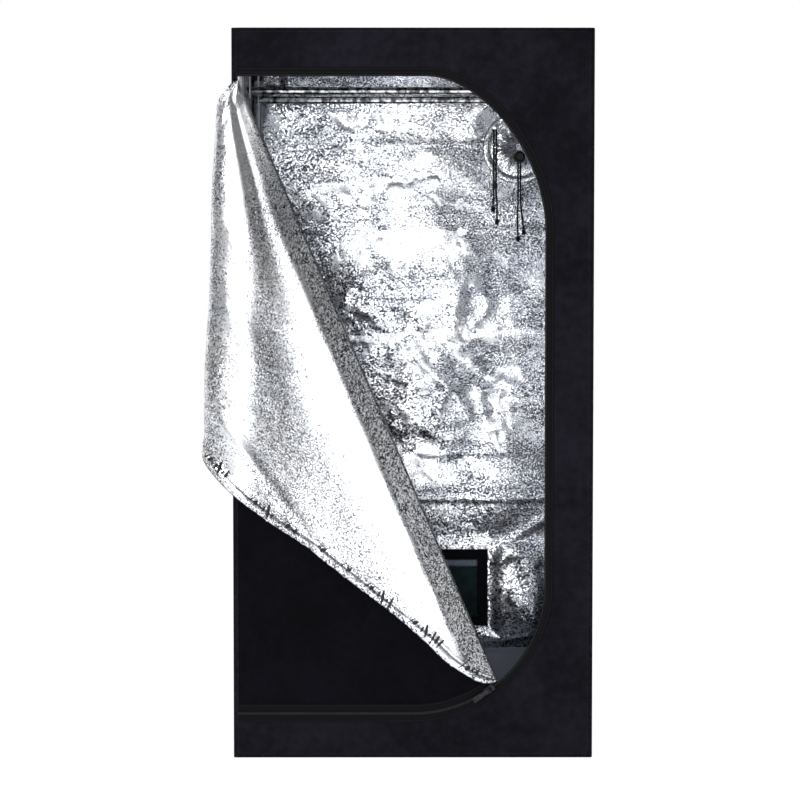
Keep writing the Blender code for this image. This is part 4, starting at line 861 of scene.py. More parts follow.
past = np.maximum(flap_across - (reach[:, None] - tucked), 0)
angle = np.minimum(past / TURN_RADIUS, math.pi)
level_across = flap_across - past + TURN_RADIUS * np.sin(angle) - np.maximum(past - math.pi * TURN_RADIUS, 0)
flap_points = cloth_at(flap_along, level_across)
side_step = cloth_at(flap_along, level_across + 0.002) - cloth_at(flap_along, level_across - 0.002)
along_step = cloth_at(flap_along + 0.002, level_across) - cloth_at(flap_along - 0.002, level_across)
outward = np.cross(side_step, along_step)
outward /= np.linalg.norm(outward, axis=-1, keepdims=True)
outward = np.where(outward[..., 1:2] > 0, -outward, outward)
flap_points = flap_points - outward * (TURN_RADIUS * (1 - np.cos(angle)))[..., None]
turned_points = flap_points

shown_edge = reach[:, None] - tucked + np.minimum(tucked, QUARTER * TURN_RADIUS)
from_edge = np.abs(shown_edge - flap_across)
edge_run = np.concatenate([[0], np.cumsum(np.hypot(np.diff(rows), np.diff(reach)))])[:, None] + 0 * flap_across
wobble = 0.006 * noise(edge_run, 0 * edge_run, 0.045, 70)
pucker = np.abs(noise(edge_run + wobble, from_edge * 0.25, 0.0085, 71)) ** 0.8
sewn = ease(edge_run, 0.06, 0.16)
hem = 1 - ease(from_edge, HEM * 0.9, HEM * 1.5)
stitch = np.exp(-((from_edge - HEM) / 0.0016) ** 2)
ridges = 0.0040 * pucker * np.sin(np.clip(from_edge / HEM, 0, 1) * math.pi * 0.8 + 0.5) * sewn
lift = hem * (0.0008 + ridges) - 0.0016 * stitch * sewn
lift += 0.0011 * np.exp(-from_edge / 0.040) * noise(edge_run, from_edge, 0.020, 72) * sewn * (1 - hem)
gather = np.exp(-flap_along / 0.050)
lift += 0.0050 * gather * noise(flap_across / np.maximum(reach[:, None], 0.004) * 0.3, flap_along * 0.25, 0.055, 73)
lift += 0.0022 * noise(flap_along * 0.35, flap_across, 0.075, 74) * ease(flap_across, 0.03, 0.09)
pull = np.exp(-((flap_across - 0.23 + 0.25 * (flap_along - 0.62)) / 0.010) ** 2)
pull = pull * ease(flap_along, 0.45, 0.60) * (1 - ease(flap_along, 0.66, 0.80))
lift += 0.0020 * pull + 0.0006 * creases(flap_along, flap_across, 0.085, 75) * ease(flap_across, 0.02, 0.08)
lift = lift * ease(flap_across, start_across, start_across + 0.012) + 0.00015
flap_points = raised(flap_points, -lift)
flap_flat = np.stack([flap_along, flap_across], axis=-1)
# Painted highlight: the two bands below are placed where the flap shines, and they clear its painted dark dots.
turned_side = np.vectorize(side_turn)(flap_points[..., 2])
from_side = flap_points[..., 0] - turned_side + 0.010 * noise(flap_along, flap_across, 0.09, 77)
lower = ease(flap_along, 0.15, 0.80)
left_painted_highlight = ease(from_side, 0.004 + 0.014 * lower, 0.034 + 0.022 * lower)
left_painted_highlight = left_painted_highlight * (1 - ease(from_side, 0.040 + 0.010 * lower, 0.095 + 0.030 * lower))
fold_width = np.interp(flap_along, (0.1, 0.2, 0.3, 0.4), (0.018, 0.024, 0.031, 0.041))
from_fold = flap_across * 1.09 + 0.012 * noise(flap_along, flap_across, 0.07, 78)
fold_painted_highlight = ease(from_fold, fold_width, fold_width + 0.016)
fold_painted_highlight = fold_painted_highlight * (1 - ease(from_fold, 1.6 * fold_width, 3.8 * fold_width)) * ease(flap_along, 0.20, 0.42)
flap_taut_and_painted_highlight = np.maximum(left_painted_highlight, fold_painted_highlight)
flap = sheet_piece("door_flap_cloth", flap_points, flap_flat, (door_lining, door_black_painted_shade), taut_and_painted_highlight=flap_taut_and_painted_highlight)
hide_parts("door_flap")
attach(flap, "folded_door")
print("flap:", len(flap.data.polygons), "faces; box", np.round(flap_points.reshape(-1, 3).min(0), 3),
      np.round(flap_points.reshape(-1, 3).max(0), 3))

# %% [markdown]
# ## The zipped part and the roll
# Below the fold the door still hangs in the opening, black side out. Its edge along the fold curls forward
# and becomes the flap.

# %% Zipped part of the door
level_marks = np.concatenate([np.linspace(OPENING_BOTTOM + 0.0003, tip.y, 18)[:-1],
                              np.linspace(tip.y, top_left.y - 0.004, 231)])
plane_points = []
for z in level_marks:
    if z < tip.y:
        right = LOWER_CENTRE.x + math.sqrt(max(LOWER_RADIUS ** 2 - (z - LOWER_CENTRE.y) ** 2, 0)) - 0.0003
        roll_x = None
    else:
        right = fold_x(z) - ROLL_REACH
        roll_x = right
    flat_row = np.linspace(HINGE_X + 0.0003, max(right, HINGE_X + 0.0006), 60)
    plane_points.append((flat_row, z, roll_x))
grid, flat = [], []
for flat_row, z, roll_x in plane_points:
    xs = list(flat_row)
    ys = [PANEL_BACK] * 60
    if roll_x is None:
        xs += [flat_row[-1] + 0.00001 * k for k in range(1, 16)]
        ys += [PANEL_BACK] * 15
        runs = [flat_row[-1]] * 15
    else:
        share = float(ease(np.array([z]), tip.y, tip.y + 0.02)[0])
        steps = np.linspace(0, (seam_run + 0.003) * share, 16)[1:]
        rolled = bent(steps, np.full(15, z))
        xs += list(rolled[:, 0])
        ys += list(rolled[:, 1])
        runs = list(roll_x + steps)
    grid.append(np.stack([xs, ys, [z] * 75], axis=-1))
    flat.append(np.stack([[*flat_row, *runs], [z] * 75], axis=-1))
grid, flat = np.array(grid), np.array(flat)
px, pz = grid[:, :60, 0], grid[:, :60, 2]
hold = np.minimum(ease(px - HINGE_X, 0.0, 0.05), ease(pz - OPENING_BOTTOM, 0.0, 0.05))
hold = hold * ease(fold_x(pz) - px, 0.015, 0.07)
low_right = np.hypot(px - LOWER_CENTRE.x, np.minimum(pz - LOWER_CENTRE.y, 0))
hold = hold * np.where((px > LOWER_CENTRE.x) & (pz < LOWER_CENTRE.y), ease(LOWER_RADIUS - low_right, 0.0, 0.04), 1)
swell = 0.0030 * noise(px + 0.5 * pz, pz, 0.15, 81) + 0.0016 * noise(px, pz, 0.06, 82)
swell = swell + 0.0016 * creases(px + 0.4 * pz, pz, 0.11, 83)
grid[:, :60, 1] += hold * np.maximum(swell + 0.002, -0.002)
# Its black side takes the darker door cloth, which is painted shade.
zipped = sheet_piece("door_zipped_cloth", grid, flat, (door_black_painted_shade, door_lining), thickness=0.0010, offset=1.0)
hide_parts("door_panel")
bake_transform(zipped, "tent", "folded_door", start=(0, -0.3000, 0.6), end=(0, -0.3052, 0.6))
print("zipped part:", len(zipped.data.polygons), "faces")

# %% [markdown]
# ## Tapes, threads, metal and plastic
# The small parts need their own finishes. Zip tape is a ribbed weave, darker than the cover. The drawcords
# are braided. The poles are coated steel, and the hanging bars are bright tube. The zip's slider is dark
# cast zinc that has worn lighter where it rubs. Each is a few noise and wave textures at the real scale.

# %% Finishes of the small parts
def ribbed_tape(name, tint, flat=True, rib=0.0016):
    n = Nodes(name)
    at = n.flat_map() if flat else n.place()
    parts = n.add("SeparateXYZ", None, Vector=at)
    pitch = 2 * math.pi / rib
    along = n.math("SINE", n.math("MULTIPLY", parts.outputs[0], pitch))
    across = n.math("SINE", n.math("MULTIPLY", parts.outputs[1], pitch * 1.6))
    ribs = n.math("ADD", n.math("ABSOLUTE", along), n.math("MULTIPLY", n.math("ABSOLUTE", across), 0.6))
    fuzz = n.noise(at, 420.0, 3.0, 0.6)
    dark, light = shades(tint, 0.6, 1.5)
    colour = n.mix(n.span(n.math("ADD", n.math("MULTIPLY", ribs, 0.25), n.math("MULTIPLY", fuzz, 0.6)), 0.25, 0.75),
                   dark, light)
    normal = n.bump(n.math("ADD", ribs, fuzz), 0.0002, 0.6)
    return n.shade(Base_Color=colour, Roughness=n.span(fuzz, 0.3, 0.7, 0.62, 0.78), Normal=normal,
                   Sheen_Weight=0.01, Sheen_Roughness=0.5, Specular_IOR_Level=0.12)


def moulded(name, tint, rough=(0.32, 0.46), grain=900.0, relief=0.00006):
    n = Nodes(name)
    at = n.place()
    fine = n.noise(at, grain, 3.0, 0.6)
    cloud = n.noise(at, 60.0, 2.0, 0.5)
    dark, light = shades(tint, 0.8, 1.25)
    return n.shade(Base_Color=n.mix(n.span(cloud, 0.35, 0.65), dark, light), Roughness=n.span(cloud, 0.3, 0.7, *rough),
                   Normal=n.bump(fine, relief, 0.5))


def metal(name, tint, rough=(0.25, 0.40), brushed=(700.0, 700.0, 40.0), worn=0.25, metallic=1.0, mottle=0.75,
          spot=45.0):
    n = Nodes(name)
    at = n.place()
    stretched = n.add("Mapping", None, Vector=at, Scale=brushed)
    lines = n.noise(stretched.outputs[0], 1.0, 3.0, 0.6)
    stain = n.noise(at, spot, 4.0, 0.6)
    rub = n.span(n.noise(at, 180.0, 4.0, 0.65), 0.52, 0.68)
    dark, light = shades(tint, mottle, 1.15)
    base = n.mix(n.span(stain, 0.40, 0.60), dark, light)
    bright = (*[min(c * 1.6 + 0.05, 1) for c in tint], 1)
    colour = n.mix(n.math("MULTIPLY", rub, worn), base, bright)
    return n.shade(Base_Color=colour, Metallic=metallic, Roughness=n.span(lines, 0.3, 0.7, *rough),
                   Normal=n.bump(lines, 0.00008, 0.35))


def braid(name, tint):
    n = Nodes(name)
    at = n.place()
    parts = n.add("SeparateXYZ", None, Vector=at)
    twist = 2 * math.pi / 0.0026
    lean = n.math("ADD", parts.outputs[2], n.math("MULTIPLY", parts.outputs[0], 1.3))
    other = n.math("SUBTRACT", parts.outputs[2], n.math("MULTIPLY", parts.outputs[0], 1.3))
    strands = n.math("MAXIMUM", n.math("SINE", n.math("MULTIPLY", lean, twist)),
                     n.math("SINE", n.math("MULTIPLY", other, twist)))
    fuzz = n.noise(at, 1500.0, 2.0, 0.6)
    dark, light = shades(tint, 0.55, 1.6)
    return n.shade(Base_Color=n.mix(n.span(n.math("ADD", strands, fuzz), 0.0, 1.4), dark, light),
                   Roughness=n.span(fuzz, 0.3, 0.7, 0.6, 0.8),
                   Normal=n.bump(n.math("ADD", strands, fuzz), 0.00025, 0.6), Specular_IOR_Level=0.15)


tape_black = ribbed_tape("zip_tape", (0.0016, 0.0014, 0.0024))
binding_black = ribbed_tape("binding_tape", (0.0060, 0.0060, 0.0080), flat=False)
thread_black = moulded("black_thread", (0.010, 0.010, 0.013), rough=(0.6, 0.75), grain=2500.0)
coil_black = moulded("zip_coil", (0.0065, 0.0065, 0.0085), rough=(0.30, 0.45))
lock_black = moulded("lock_plastic", (0.0012, 0.0012, 0.0015), rough=(0.50, 0.65))
corner_black = moulded("corner_plastic", (0.020, 0.020, 0.024), rough=(0.40, 0.55))
cord_black = braid("drawcord", (0.0022, 0.0022, 0.0030))
net_black = moulded("net_thread", (0.0050, 0.0065, 0.0070), rough=(0.5, 0.65), grain=2500.0)
pole_coat = metal("pole_coat", (0.46, 0.48, 0.51), rough=(0.30, 0.42), worn=0.10, metallic=0.7)
bar_steel = metal("bar_steel", (0.80, 0.81, 0.83), rough=(0.16, 0.28), brushed=(30.0, 900.0, 900.0), worn=0.2,
                  mottle=0.12, spot=95.0)
zinc = metal("dark_zinc", (0.022, 0.022, 0.025), rough=(0.30, 0.45), worn=0.35)
hook_zinc = metal("hook_zinc", (0.60, 0.61, 0.63), rough=(0.25, 0.40), worn=0.3)
spring = metal("spring_steel", (0.55, 0.55, 0.57), rough=(0.20, 0.30), worn=0.1)
print("finishes:", len(bpy.data.materials))

# %% [markdown]
# ## Frame parts that keep their solids
# The steel tubes, the corner connectors, the hanging bars and the cord lock are hard, plain shapes, so
# their solids are right as they are. They only get their finishes.

# %% Poles, corners, bars and lock
HARD_FINISHES = (
    (("_pole", "_upright"), pole_coat), (("_corner",), corner_black), (("front_bar", "rear_bar"), bar_steel),
    (("_hook",), hook_zinc), (("cord_lock_body", "cord_lock_button", "rim_string_bead"), lock_black),
    (("cord_lock_spring",), spring), (("zip_slider", "zip_pull"), zinc),
)
finished = 0
for name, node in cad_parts.items():
    for endings, look in HARD_FINISHES:
        if name.endswith(endings):
            node.data.materials.clear()
            node.data.materials.append(look)
            finished += 1
print("solids with a finish:", finished)

# %% [markdown]
# ## A Geometry Nodes tree for small repeats
# Zip teeth and stitches are the same idea: one small rounded piece, many times, at even steps along a
# path. The tree turns the path into a curve, cuts it into equal steps, sets a rounded bead on each step
# and turns it along the path. The path's points carry an attribute, up, that says which way is out.

# %% Evenly spaced pieces
def empty_tree(name, result, sockets):
    """A Geometry Nodes tree with its inputs and its output, and the outputs of its first node."""
    tree = bpy.data.node_groups.new(name, "GeometryNodeTree")
    tree.interface.new_socket(result, in_out="OUTPUT", socket_type="NodeSocketGeometry")
    for title, kind in sockets.items():
        tree.interface.new_socket(title, in_out="INPUT", socket_type="NodeSocket" + kind)
    return tree, tree.nodes.new("NodeGroupInput").outputs


def copies_on(tree, start, points, piece, more=None):
    """Ends a tree: a copy of the piece on each point, made real and given the finish."""
    copies = add_node(tree, "GeometryNodeInstanceOnPoints", None, {"Points": points, "Instance": piece, **(more or {})})
    real = add_node(tree, "GeometryNodeRealizeInstances", None, {"Geometry": copies.outputs["Instances"]})
    paint = add_node(tree, "GeometryNodeSetMaterial", None,
                     {"Geometry": real.outputs["Geometry"], "Material": start["Finish"]})
    add_node(tree, "NodeGroupOutput", None, {0: paint.outputs["Geometry"]})
    return tree


def vector_math(tree, operation, inputs):
    return add_node(tree, "ShaderNodeVectorMath", {"operation": operation}, inputs).outputs["Vector"]


def spacing_tree():
    numbers = dict.fromkeys(("Pitch", "Length", "Width", "Height", "Lift", "Wander"), "Float")
    tree, start = empty_tree("evenly_spaced", "Pieces", {"Path": "Geometry", **numbers, "Finish": "Material"})
    curve = add_node(tree, "GeometryNodeMeshToCurve", None, {"Mesh": start["Path"]})
    steps = add_node(tree, "GeometryNodeResampleCurve", {"mode": "LENGTH"},
                     {"Curve": curve.outputs["Curve"], "Length": start["Pitch"]})
    up = add_node(tree, "GeometryNodeInputNamedAttribute", {"data_type": "FLOAT_VECTOR"}, {"Name": "up"})
    tangent = add_node(tree, "GeometryNodeInputTangent")
    raise_by = vector_math(tree, "SCALE", {0: up.outputs["Attribute"], "Scale": start["Lift"]})
    move = add_node(tree, "GeometryNodeSetPosition", None, {"Geometry": steps.outputs["Curve"], "Offset": raise_by})
    turn = add_node(tree, "FunctionNodeAxesToRotation", {"primary_axis": "X", "secondary_axis": "Z"},
                    {0: tangent.outputs["Tangent"], 1: up.outputs["Attribute"]})
    bead = add_node(tree, "GeometryNodeMeshUVSphere", None, {"Segments": 6, "Rings": 4, "Radius": 0.5})
    smooth = add_node(tree, "GeometryNodeSetShadeSmooth", None, {"Geometry": bead.outputs["Mesh"]})
    size = add_node(tree, "ShaderNodeCombineXYZ", None, {0: start["Length"], 1: start["Width"], 2: start["Height"]})
    chance = add_node(tree, "FunctionNodeRandomValue", {"data_type": "FLOAT_VECTOR"},
                      {0: (-1, -1, -1), 1: (1, 1, 1), "Seed": 5})
    uneven = vector_math(tree, "SCALE", {0: chance.outputs[0], "Scale": start["Wander"]})
    grown = vector_math(tree, "MULTIPLY_ADD", {0: size.outputs["Vector"], 1: uneven, 2: size.outputs["Vector"]})
    swing = vector_math(tree, "MULTIPLY", {0: uneven, 1: (0, 0, 0.8)})
    by = add_node(tree, "FunctionNodeEulerToRotation", None, {0: swing})
    turned = add_node(tree, "FunctionNodeRotateRotation", {"rotation_space": "LOCAL"},
                      {0: turn.outputs[0], 1: by.outputs[0]})
    return copies_on(tree, start, move.outputs["Geometry"], smooth.outputs["Geometry"],
                     {"Rotation": turned.outputs[0], "Scale": grown})


def grow(name, mesh, tree, values):
    """The piece that a Geometry Nodes tree makes from a mesh."""
    thing = link(name, mesh)
    made = thing.modifiers.new("nodes", "NODES")
    made.node_group = tree
    for item in tree.interface.items_tree:
        if item.in_out == "INPUT" and item.name in values:
            made[item.identifier] = values[item.name]
    return plain(thing)


spaced = spacing_tree()


def along_path(name, path, ups, pitch, size, look, lift=0.0, wander=0.0):
    """Small rounded pieces of size (along, across, high) at even steps along a path of points."""
    mesh = bpy.data.meshes.new(name)
    mesh.from_pydata([tuple(p) for p in path], [(k, k + 1) for k in range(len(path) - 1)], [])
    mark = mesh.attributes.new("up", "FLOAT_VECTOR", "POINT")
    mark.data.foreach_set("vector", np.array([tuple(u) for u in ups], np.float32).ravel())
    along, across, high = size
    thing = grow(name, mesh, spaced, {"Pitch": pitch, "Length": along, "Width": across, "Height": high, "Lift": lift,
                                      "Wander": wander, "Finish": look})
    for leftover in list(thing.data.attributes):
        if leftover.name == "up":
            thing.data.attributes.remove(leftover)
    print(name, len(thing.data.polygons), "faces")
    return thing


# %% [markdown]
# ## The zip round the opening
# A coil zip is a ribbed tape with a wound plastic coil along one edge. The half on the front panel runs
# round the open part of the D, and both halves are closed along the bottom. Each loop of the coil is a
# small bead, 1.6 mm from the next. A row of stitches holds the tape's outer edge to the cover.

# %% Zip on the front panel
TAPE_BACK = FRONT - 0.0003
OUTWARD_UP = Vector((0, -1, 0))


def edge_path(edge, step, outward=0.0, y=TAPE_BACK):
    """Points of an outline in the front plane, moved outward from the opening."""
    places = evenly(edge, step)
    slopes = np.gradient(places, axis=0)
    slopes /= np.linalg.norm(slopes, axis=1, keepdims=True)
    out = np.stack([-slopes[:, 1], slopes[:, 0]], axis=1)
    moved = places + out * outward
    return [Vector((x, y, z)) for x, z in moved], [Vector((x, 0, z)) for x, z in out]


def tape_piece(name, edge, outline, look, step=0.006):
    points, sides = edge_path(edge, step)
    frames = [(p, s, OUTWARD_UP) for p, s in zip(points, sides)]
    lengths = [0.0]
    for first, second in zip(points, points[1:]):
        lengths.append(lengths[-1] + (second - first).length)
    piece = swept_piece(name, frames, outline, look)
    uv = piece.data.uv_layers.new(name="cloth")
    for loop in piece.data.loops:
        row, step_in = divmod(loop.vertex_index, len(outline))
        uv.data[loop.index].uv = (lengths[row], outline[step_in][0])
    return piece


open_outline = [(0.0150, 0.0), (0.0150, 0.0006), (0.0144, 0.0008), (0.0128, 0.00085), (0.0042, 0.00085),
                (0.0036, 0.0007), (0.0004, 0.0007), (0.0, 0.0004), (0.0, 0.0)]
right_half = [(0.0150, 0.0), (0.0150, 0.0006), (0.0144, 0.0008), (0.0042, 0.00085), (0.0036, 0.0007)]
closed_outline = [*right_half, *[(-side, up) for side, up in reversed(right_half)]]
opening_tape = tape_piece("opening_zip_tape", open_edge, open_outline, tape_black)
closed_run = [closed_edge[0] + (closed_edge[1] - closed_edge[0]).normalized() * 0.0003, *closed_edge[1:]]
closed_tape = tape_piece("closed_zip_tape", closed_run, closed_outline, tape_black)
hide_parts("opening_zip")
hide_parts("closed_zip")
small = [opening_tape, closed_tape]
for name, edge, aside in (("opening_zip_coil", open_edge, 0.0019), ("closed_zip_coil", closed_run, 0.0)):
    points, _ = edge_path(edge, 0.003, aside)
    width = 0.0036 if aside else 0.0066
    small.append(along_path(name, points, [OUTWARD_UP] * len(points), 0.0016, (0.0013, width, 0.0018), coil_black,
                            0.0010))
for name, edge, aside in (("opening_zip_stitches", open_edge, 0.0128),
                          ("opening_zip_inner_stitches", open_edge, 0.0062),
                          ("closed_zip_stitches", closed_run, 0.0128),
                          ("closed_zip_upper_stitches", closed_run, -0.0128)):
    points, _ = edge_path(edge, 0.006, aside)
    small.append(along_path(name, points, [OUTWARD_UP] * len(points), 0.0032, (0.0023, 0.0006, 0.0005), thread_black,
                            0.0009))
for piece in small:
    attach(piece, "tent")
print("pieces of the zip:", len(small))

# %% [markdown]
# ## The zip tape on the flap's edge
# The other half of the zip went with the door. It is sewn to the black side, behind the hem, so hardly
# any of it shows from the front. What shows there are groups of uneven black marks across the hem:
# black beads placed as painted shadow in the gaps between the hem's puckers. Their places come from
# noise along the edge, so some stretches have them and others have none.

# %% Zip tape on the flap
edge_rows = slice(6, len(rows) - 4)
outer_line = turned_points[edge_rows, -1]
inner_line = turned_points[edge_rows, -24]
outer_way = outer_line - inner_line
outer_way /= np.linalg.norm(outer_way, axis=1, keepdims=True)
edge_way = np.gradient(outer_line, axis=0)
edge_way /= np.linalg.norm(edge_way, axis=1, keepdims=True)
behind_way = np.cross(edge_way, outer_way)
behind_way /= np.linalg.norm(behind_way, axis=1, keepdims=True)
tape_marks = np.array([-0.0095, -0.0060, -0.0030, -0.0006, 0.0006, 0.0014])
tape_grid = (outer_line[:, None] + outer_way[:, None] * tape_marks[None, :, None] + behind_way[:, None] * 0.0016)
tape_lengths = run_along(outer_line)
tape_flat = np.stack(np.broadcast_arrays(tape_lengths[:, None], tape_marks[None]), axis=-1)
flap_tape = sheet_piece("flap_zip_tape", tape_grid, tape_flat, (tape_black,), thickness=0.0007, offset=0.0)
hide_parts("door_edge_zip_tape")
coil_points = outer_line + outer_way * 0.0014 + behind_way * 0.0011
hem_columns = np.argmin(np.abs(flap_across - (shown_edge - 0.0150)), axis=1)[edge_rows]
hem_rows = np.arange(len(rows))[edge_rows]
hem_line = flap_points[hem_rows, hem_columns] + outward[hem_rows, hem_columns] * 0.0018
# Painted shadow: the black beads below stand for the dark gaps between the hem's puckers.
grouped = (noise(tape_lengths, 0 * tape_lengths, 0.052, 76) > -0.02) & (tape_lengths > 0.20)
pucker_shadow_pieces = []
starts, ends = [np.flatnonzero(np.diff(np.concatenate([[0], grouped, [0]])) == s) for s in (1, -1)]
for group, (first, last) in enumerate(zip(starts, ends)):
    if last - first < 4:
        continue
    out = outward[hem_rows, hem_columns][first:last]
    pucker_shadow_pieces.append(along_path(f"hem_pucker_shadows_{group}", hem_line[first:last], out, 0.0078,
                                  (0.0040, 0.0165, 0.0020), thread_black, wander=0.70))
flap_coil = along_path("flap_zip_coil", coil_points, -behind_way, 0.0016, (0.0013, 0.0034, 0.0018), coil_black)
for piece in (flap_tape, flap_coil, *pucker_shadow_pieces):
    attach(piece, "folded_door")
print("flap tape length:", round(float(tape_lengths[-1]), 3), "m; groups of tacks:", len(pucker_shadow_pieces))

# %% [markdown]
# ## The duct port's sleeve
# A duct passes the back wall through a short sleeve of the lining cloth. It isn't in use, so its
# drawstring is pulled tight: the cloth runs from a flat hem ring to a narrow neck, in pleats that are deep
# near the neck and fade out at the ring. Real pleats are uneven, so their places and depths wander.

# %% Sleeve
SLEEVE_BASE, NECK_END = 0.2973, 0.2453
PORT = Vector((PORT_X, PORT_LEVEL))


def sleeve_points():
    turns = np.linspace(0, 2 * math.pi, 361)
    turns[-1] = 0
    wander = 0.12 * np.sin(3 * turns + 1.0) + 0.08 * np.sin(5 * turns + 2.2)
    wave = np.cos(15 * turns + 6 * wander) * 0.8 + np.cos(7 * turns + 1.3) * 0.5
    profile = [(PORT_RADIUS + 0.0115, 0.2983, 0), (PORT_RADIUS + 0.0115, 0.2950, 0), (PORT_RADIUS + 0.0108, 0.2937, 0),
               (PORT_RADIUS + 0.0095, 0.2933, 0), (PORT_RADIUS + 0.0035, 0.2933, 0), (PORT_RADIUS + 0.0022, 0.2938, 0),
               (PORT_RADIUS + 0.0017, 0.2960, 0), (PORT_RADIUS + 0.0005, 0.2972, 0.05)]
    for step in range(1, 41):
        share = step / 40
        radius = PORT_RADIUS - (PORT_RADIUS - 0.0072) * math.sin(share * math.pi / 2) ** 0.8
        profile.append((radius, SLEEVE_BASE - 0.034 * share ** 1.6,
                        math.sin(share * math.pi) ** 0.7 * 0.95 + 0.25 * share))
    for step in range(1, 9):
        share = step / 8
        profile.append((0.0070 - 0.0008 * math.sin(share * math.pi), 0.2633 + (NECK_END - 0.2633) * share,
                        0.22 + 0.2 * share))
    profile += [(0.0052, NECK_END - 0.0004, 0.3), (0.0034, NECK_END + 0.0010, 0.1), (0.0014, NECK_END + 0.0030, 0),
                (0.0004, NECK_END + 0.0040, 0)]
    grid, flat = [], []
    run = 0.0
    for index, (radius, y, depth) in enumerate(profile):
        if index:
            run += math.hypot(radius - profile[index - 1][0], y - profile[index - 1][1])
        fitted = radius + wave * 0.0046 * depth * min(1, radius / PORT_RADIUS + 0.22)
        fitted = np.maximum(fitted, min(radius, 0.0024))
        swing = turns + 0.05 * depth * np.sin(11 * turns)
        grid.append(np.stack([PORT.x + fitted * np.cos(swing), 0 * turns + y, PORT.y + fitted * np.sin(swing)],
                             axis=-1))
        flat.append(np.stack([np.linspace(0, 2 * math.pi, 361) * PORT_RADIUS * 0.9, 0 * turns + run], axis=-1))
    return np.array(grid), np.array(flat)


def merged(thing, distance=0.00001):
    shape = bmesh.new()
    shape.from_mesh(thing.data)
    bmesh.ops.remove_doubles(shape, verts=shape.verts, dist=distance)
    bmesh.ops.recalc_face_normals(shape, faces=shape.faces)
    shape.to_mesh(thing.data)
    shape.free()
    return thing


sleeve_grid, sleeve_flat = sleeve_points()
# The sleeve's copy of the foil has lighter painted dots.
sleeve_foil = silver_lining("sleeve_foil", painted_speck=1.0, crumple=0.25, dark=(0.30, 0.32, 0.35))
sleeve = sheet_piece("duct_sleeve_cloth", sleeve_grid[:, ::-1], sleeve_flat[:, ::-1], (sleeve_foil, sleeve_foil),
                     thickness=0.0008)
merged(sleeve)
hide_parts("duct_sleeve")
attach(sleeve, "tent")


def box_piece(name, low, high, look, edge=0.0006):
    """A block with rounded edges."""
    shape = bmesh.new()
    bmesh.ops.create_cube(shape, size=1.0)
    low, high = Vector(low), Vector(high)
    for vert in shape.verts:
        vert.co = Vector([(low[k] + high[k]) / 2 + vert.co[k] * (high[k] - low[k]) for k in range(3)])
    bmesh.ops.bevel(shape, geom=list(shape.edges), offset=edge, segments=3, profile=0.5, affect="EDGES")
    mesh = bpy.data.meshes.new(name)
    shape.to_mesh(mesh)
    shape.free()
    mesh.shade_smooth()
    mesh.materials.append(look)
    return link(name, mesh)


tab = box_piece("rim_string_tab", (0.1545, 0.2877, 1.0800), (0.1635, 0.2953, 1.0895), sleeve_foil, 0.0012)
for line in (PORT_RADIUS + 0.0040, PORT_RADIUS + 0.0100):
    ring = [Vector((PORT.x + line * math.cos(a), 0.2933, PORT.y + line * math.sin(a)))
            for a in np.linspace(0, 2 * math.pi, 181)]
    thread = along_path(f"sleeve_hem_stitches_{round(line * 10000)}", ring, [OUTWARD_UP] * 181, 0.0034,
                        (0.0024, 0.0006, 0.0005), thread_black, 0.0001)
    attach(thread, "tent")
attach(tab, "tent")
collar_frames = []
for a in np.linspace(0, 2 * math.pi, 145)[:-1]:
    side = Vector((math.cos(a), 0, math.sin(a)))
    collar_frames.append((Vector((PORT.x, BACK + 0.0002, PORT.y)) + side * PORT_RADIUS, side, Vector((0, 1, 0))))
collar_outline = [(-0.0010, -0.0006), (0.0130, -0.0006), (0.0130, 0.0007), (0.0122, 0.0010), (0.0010, 0.0010),
                  (-0.0010, 0.0004)]
collar = swept_piece("duct_port_collar", collar_frames, collar_outline, binding_black, closed=True)
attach(collar, "tent")
print("sleeve:", len(sleeve.data.polygons), "faces")

# %% [markdown]
# ## Drawcords and knots
# Two cords come out of the cord lock, and two hang from the port's upper tab through a bead. They are limp,
# 3 mm thick, and end in a knot. Each route starts straight down and then drifts a little. The knot
# is a tube along a small closed overhand curve, squeezed until its loops touch.

# %% Drawcords
def hanging(x, y, top, hang, shares):
    return [Vector((x + hang * aside, y, top - hang * down)) for aside, down in shares]


CORDS = {
    "lock_string_left": hanging(0.2008, 0.2503, 1.0377, 0.1577,
                                ((0, 0), (0, 0.30), (0, 0.56), (-0.004, 0.72), (-0.006, 0.87), (0.001, 1))),
    "lock_string_right": hanging(0.2052, 0.2503, 1.0377, 0.1457,
                                 ((0, 0), (0, 0.33), (0, 0.60), (0.011, 0.74), (0.030, 0.88), (0.043, 1))),
    "rim_string_left": hanging(0.1568, 0.2903, 1.0797, 0.1437,
                               ((0, 0), (0, 0.35), (0, 0.59), (0, 0.83), (-0.008, 0.94), (-0.008, 1))),
    "rim_string_right": hanging(0.1612, 0.2903, 1.0797, 0.1677,
                                ((0, 0), (0, 0.30), (0, 0.50), (0, 0.71), (0.010, 0.80), (0.010, 1))),
}


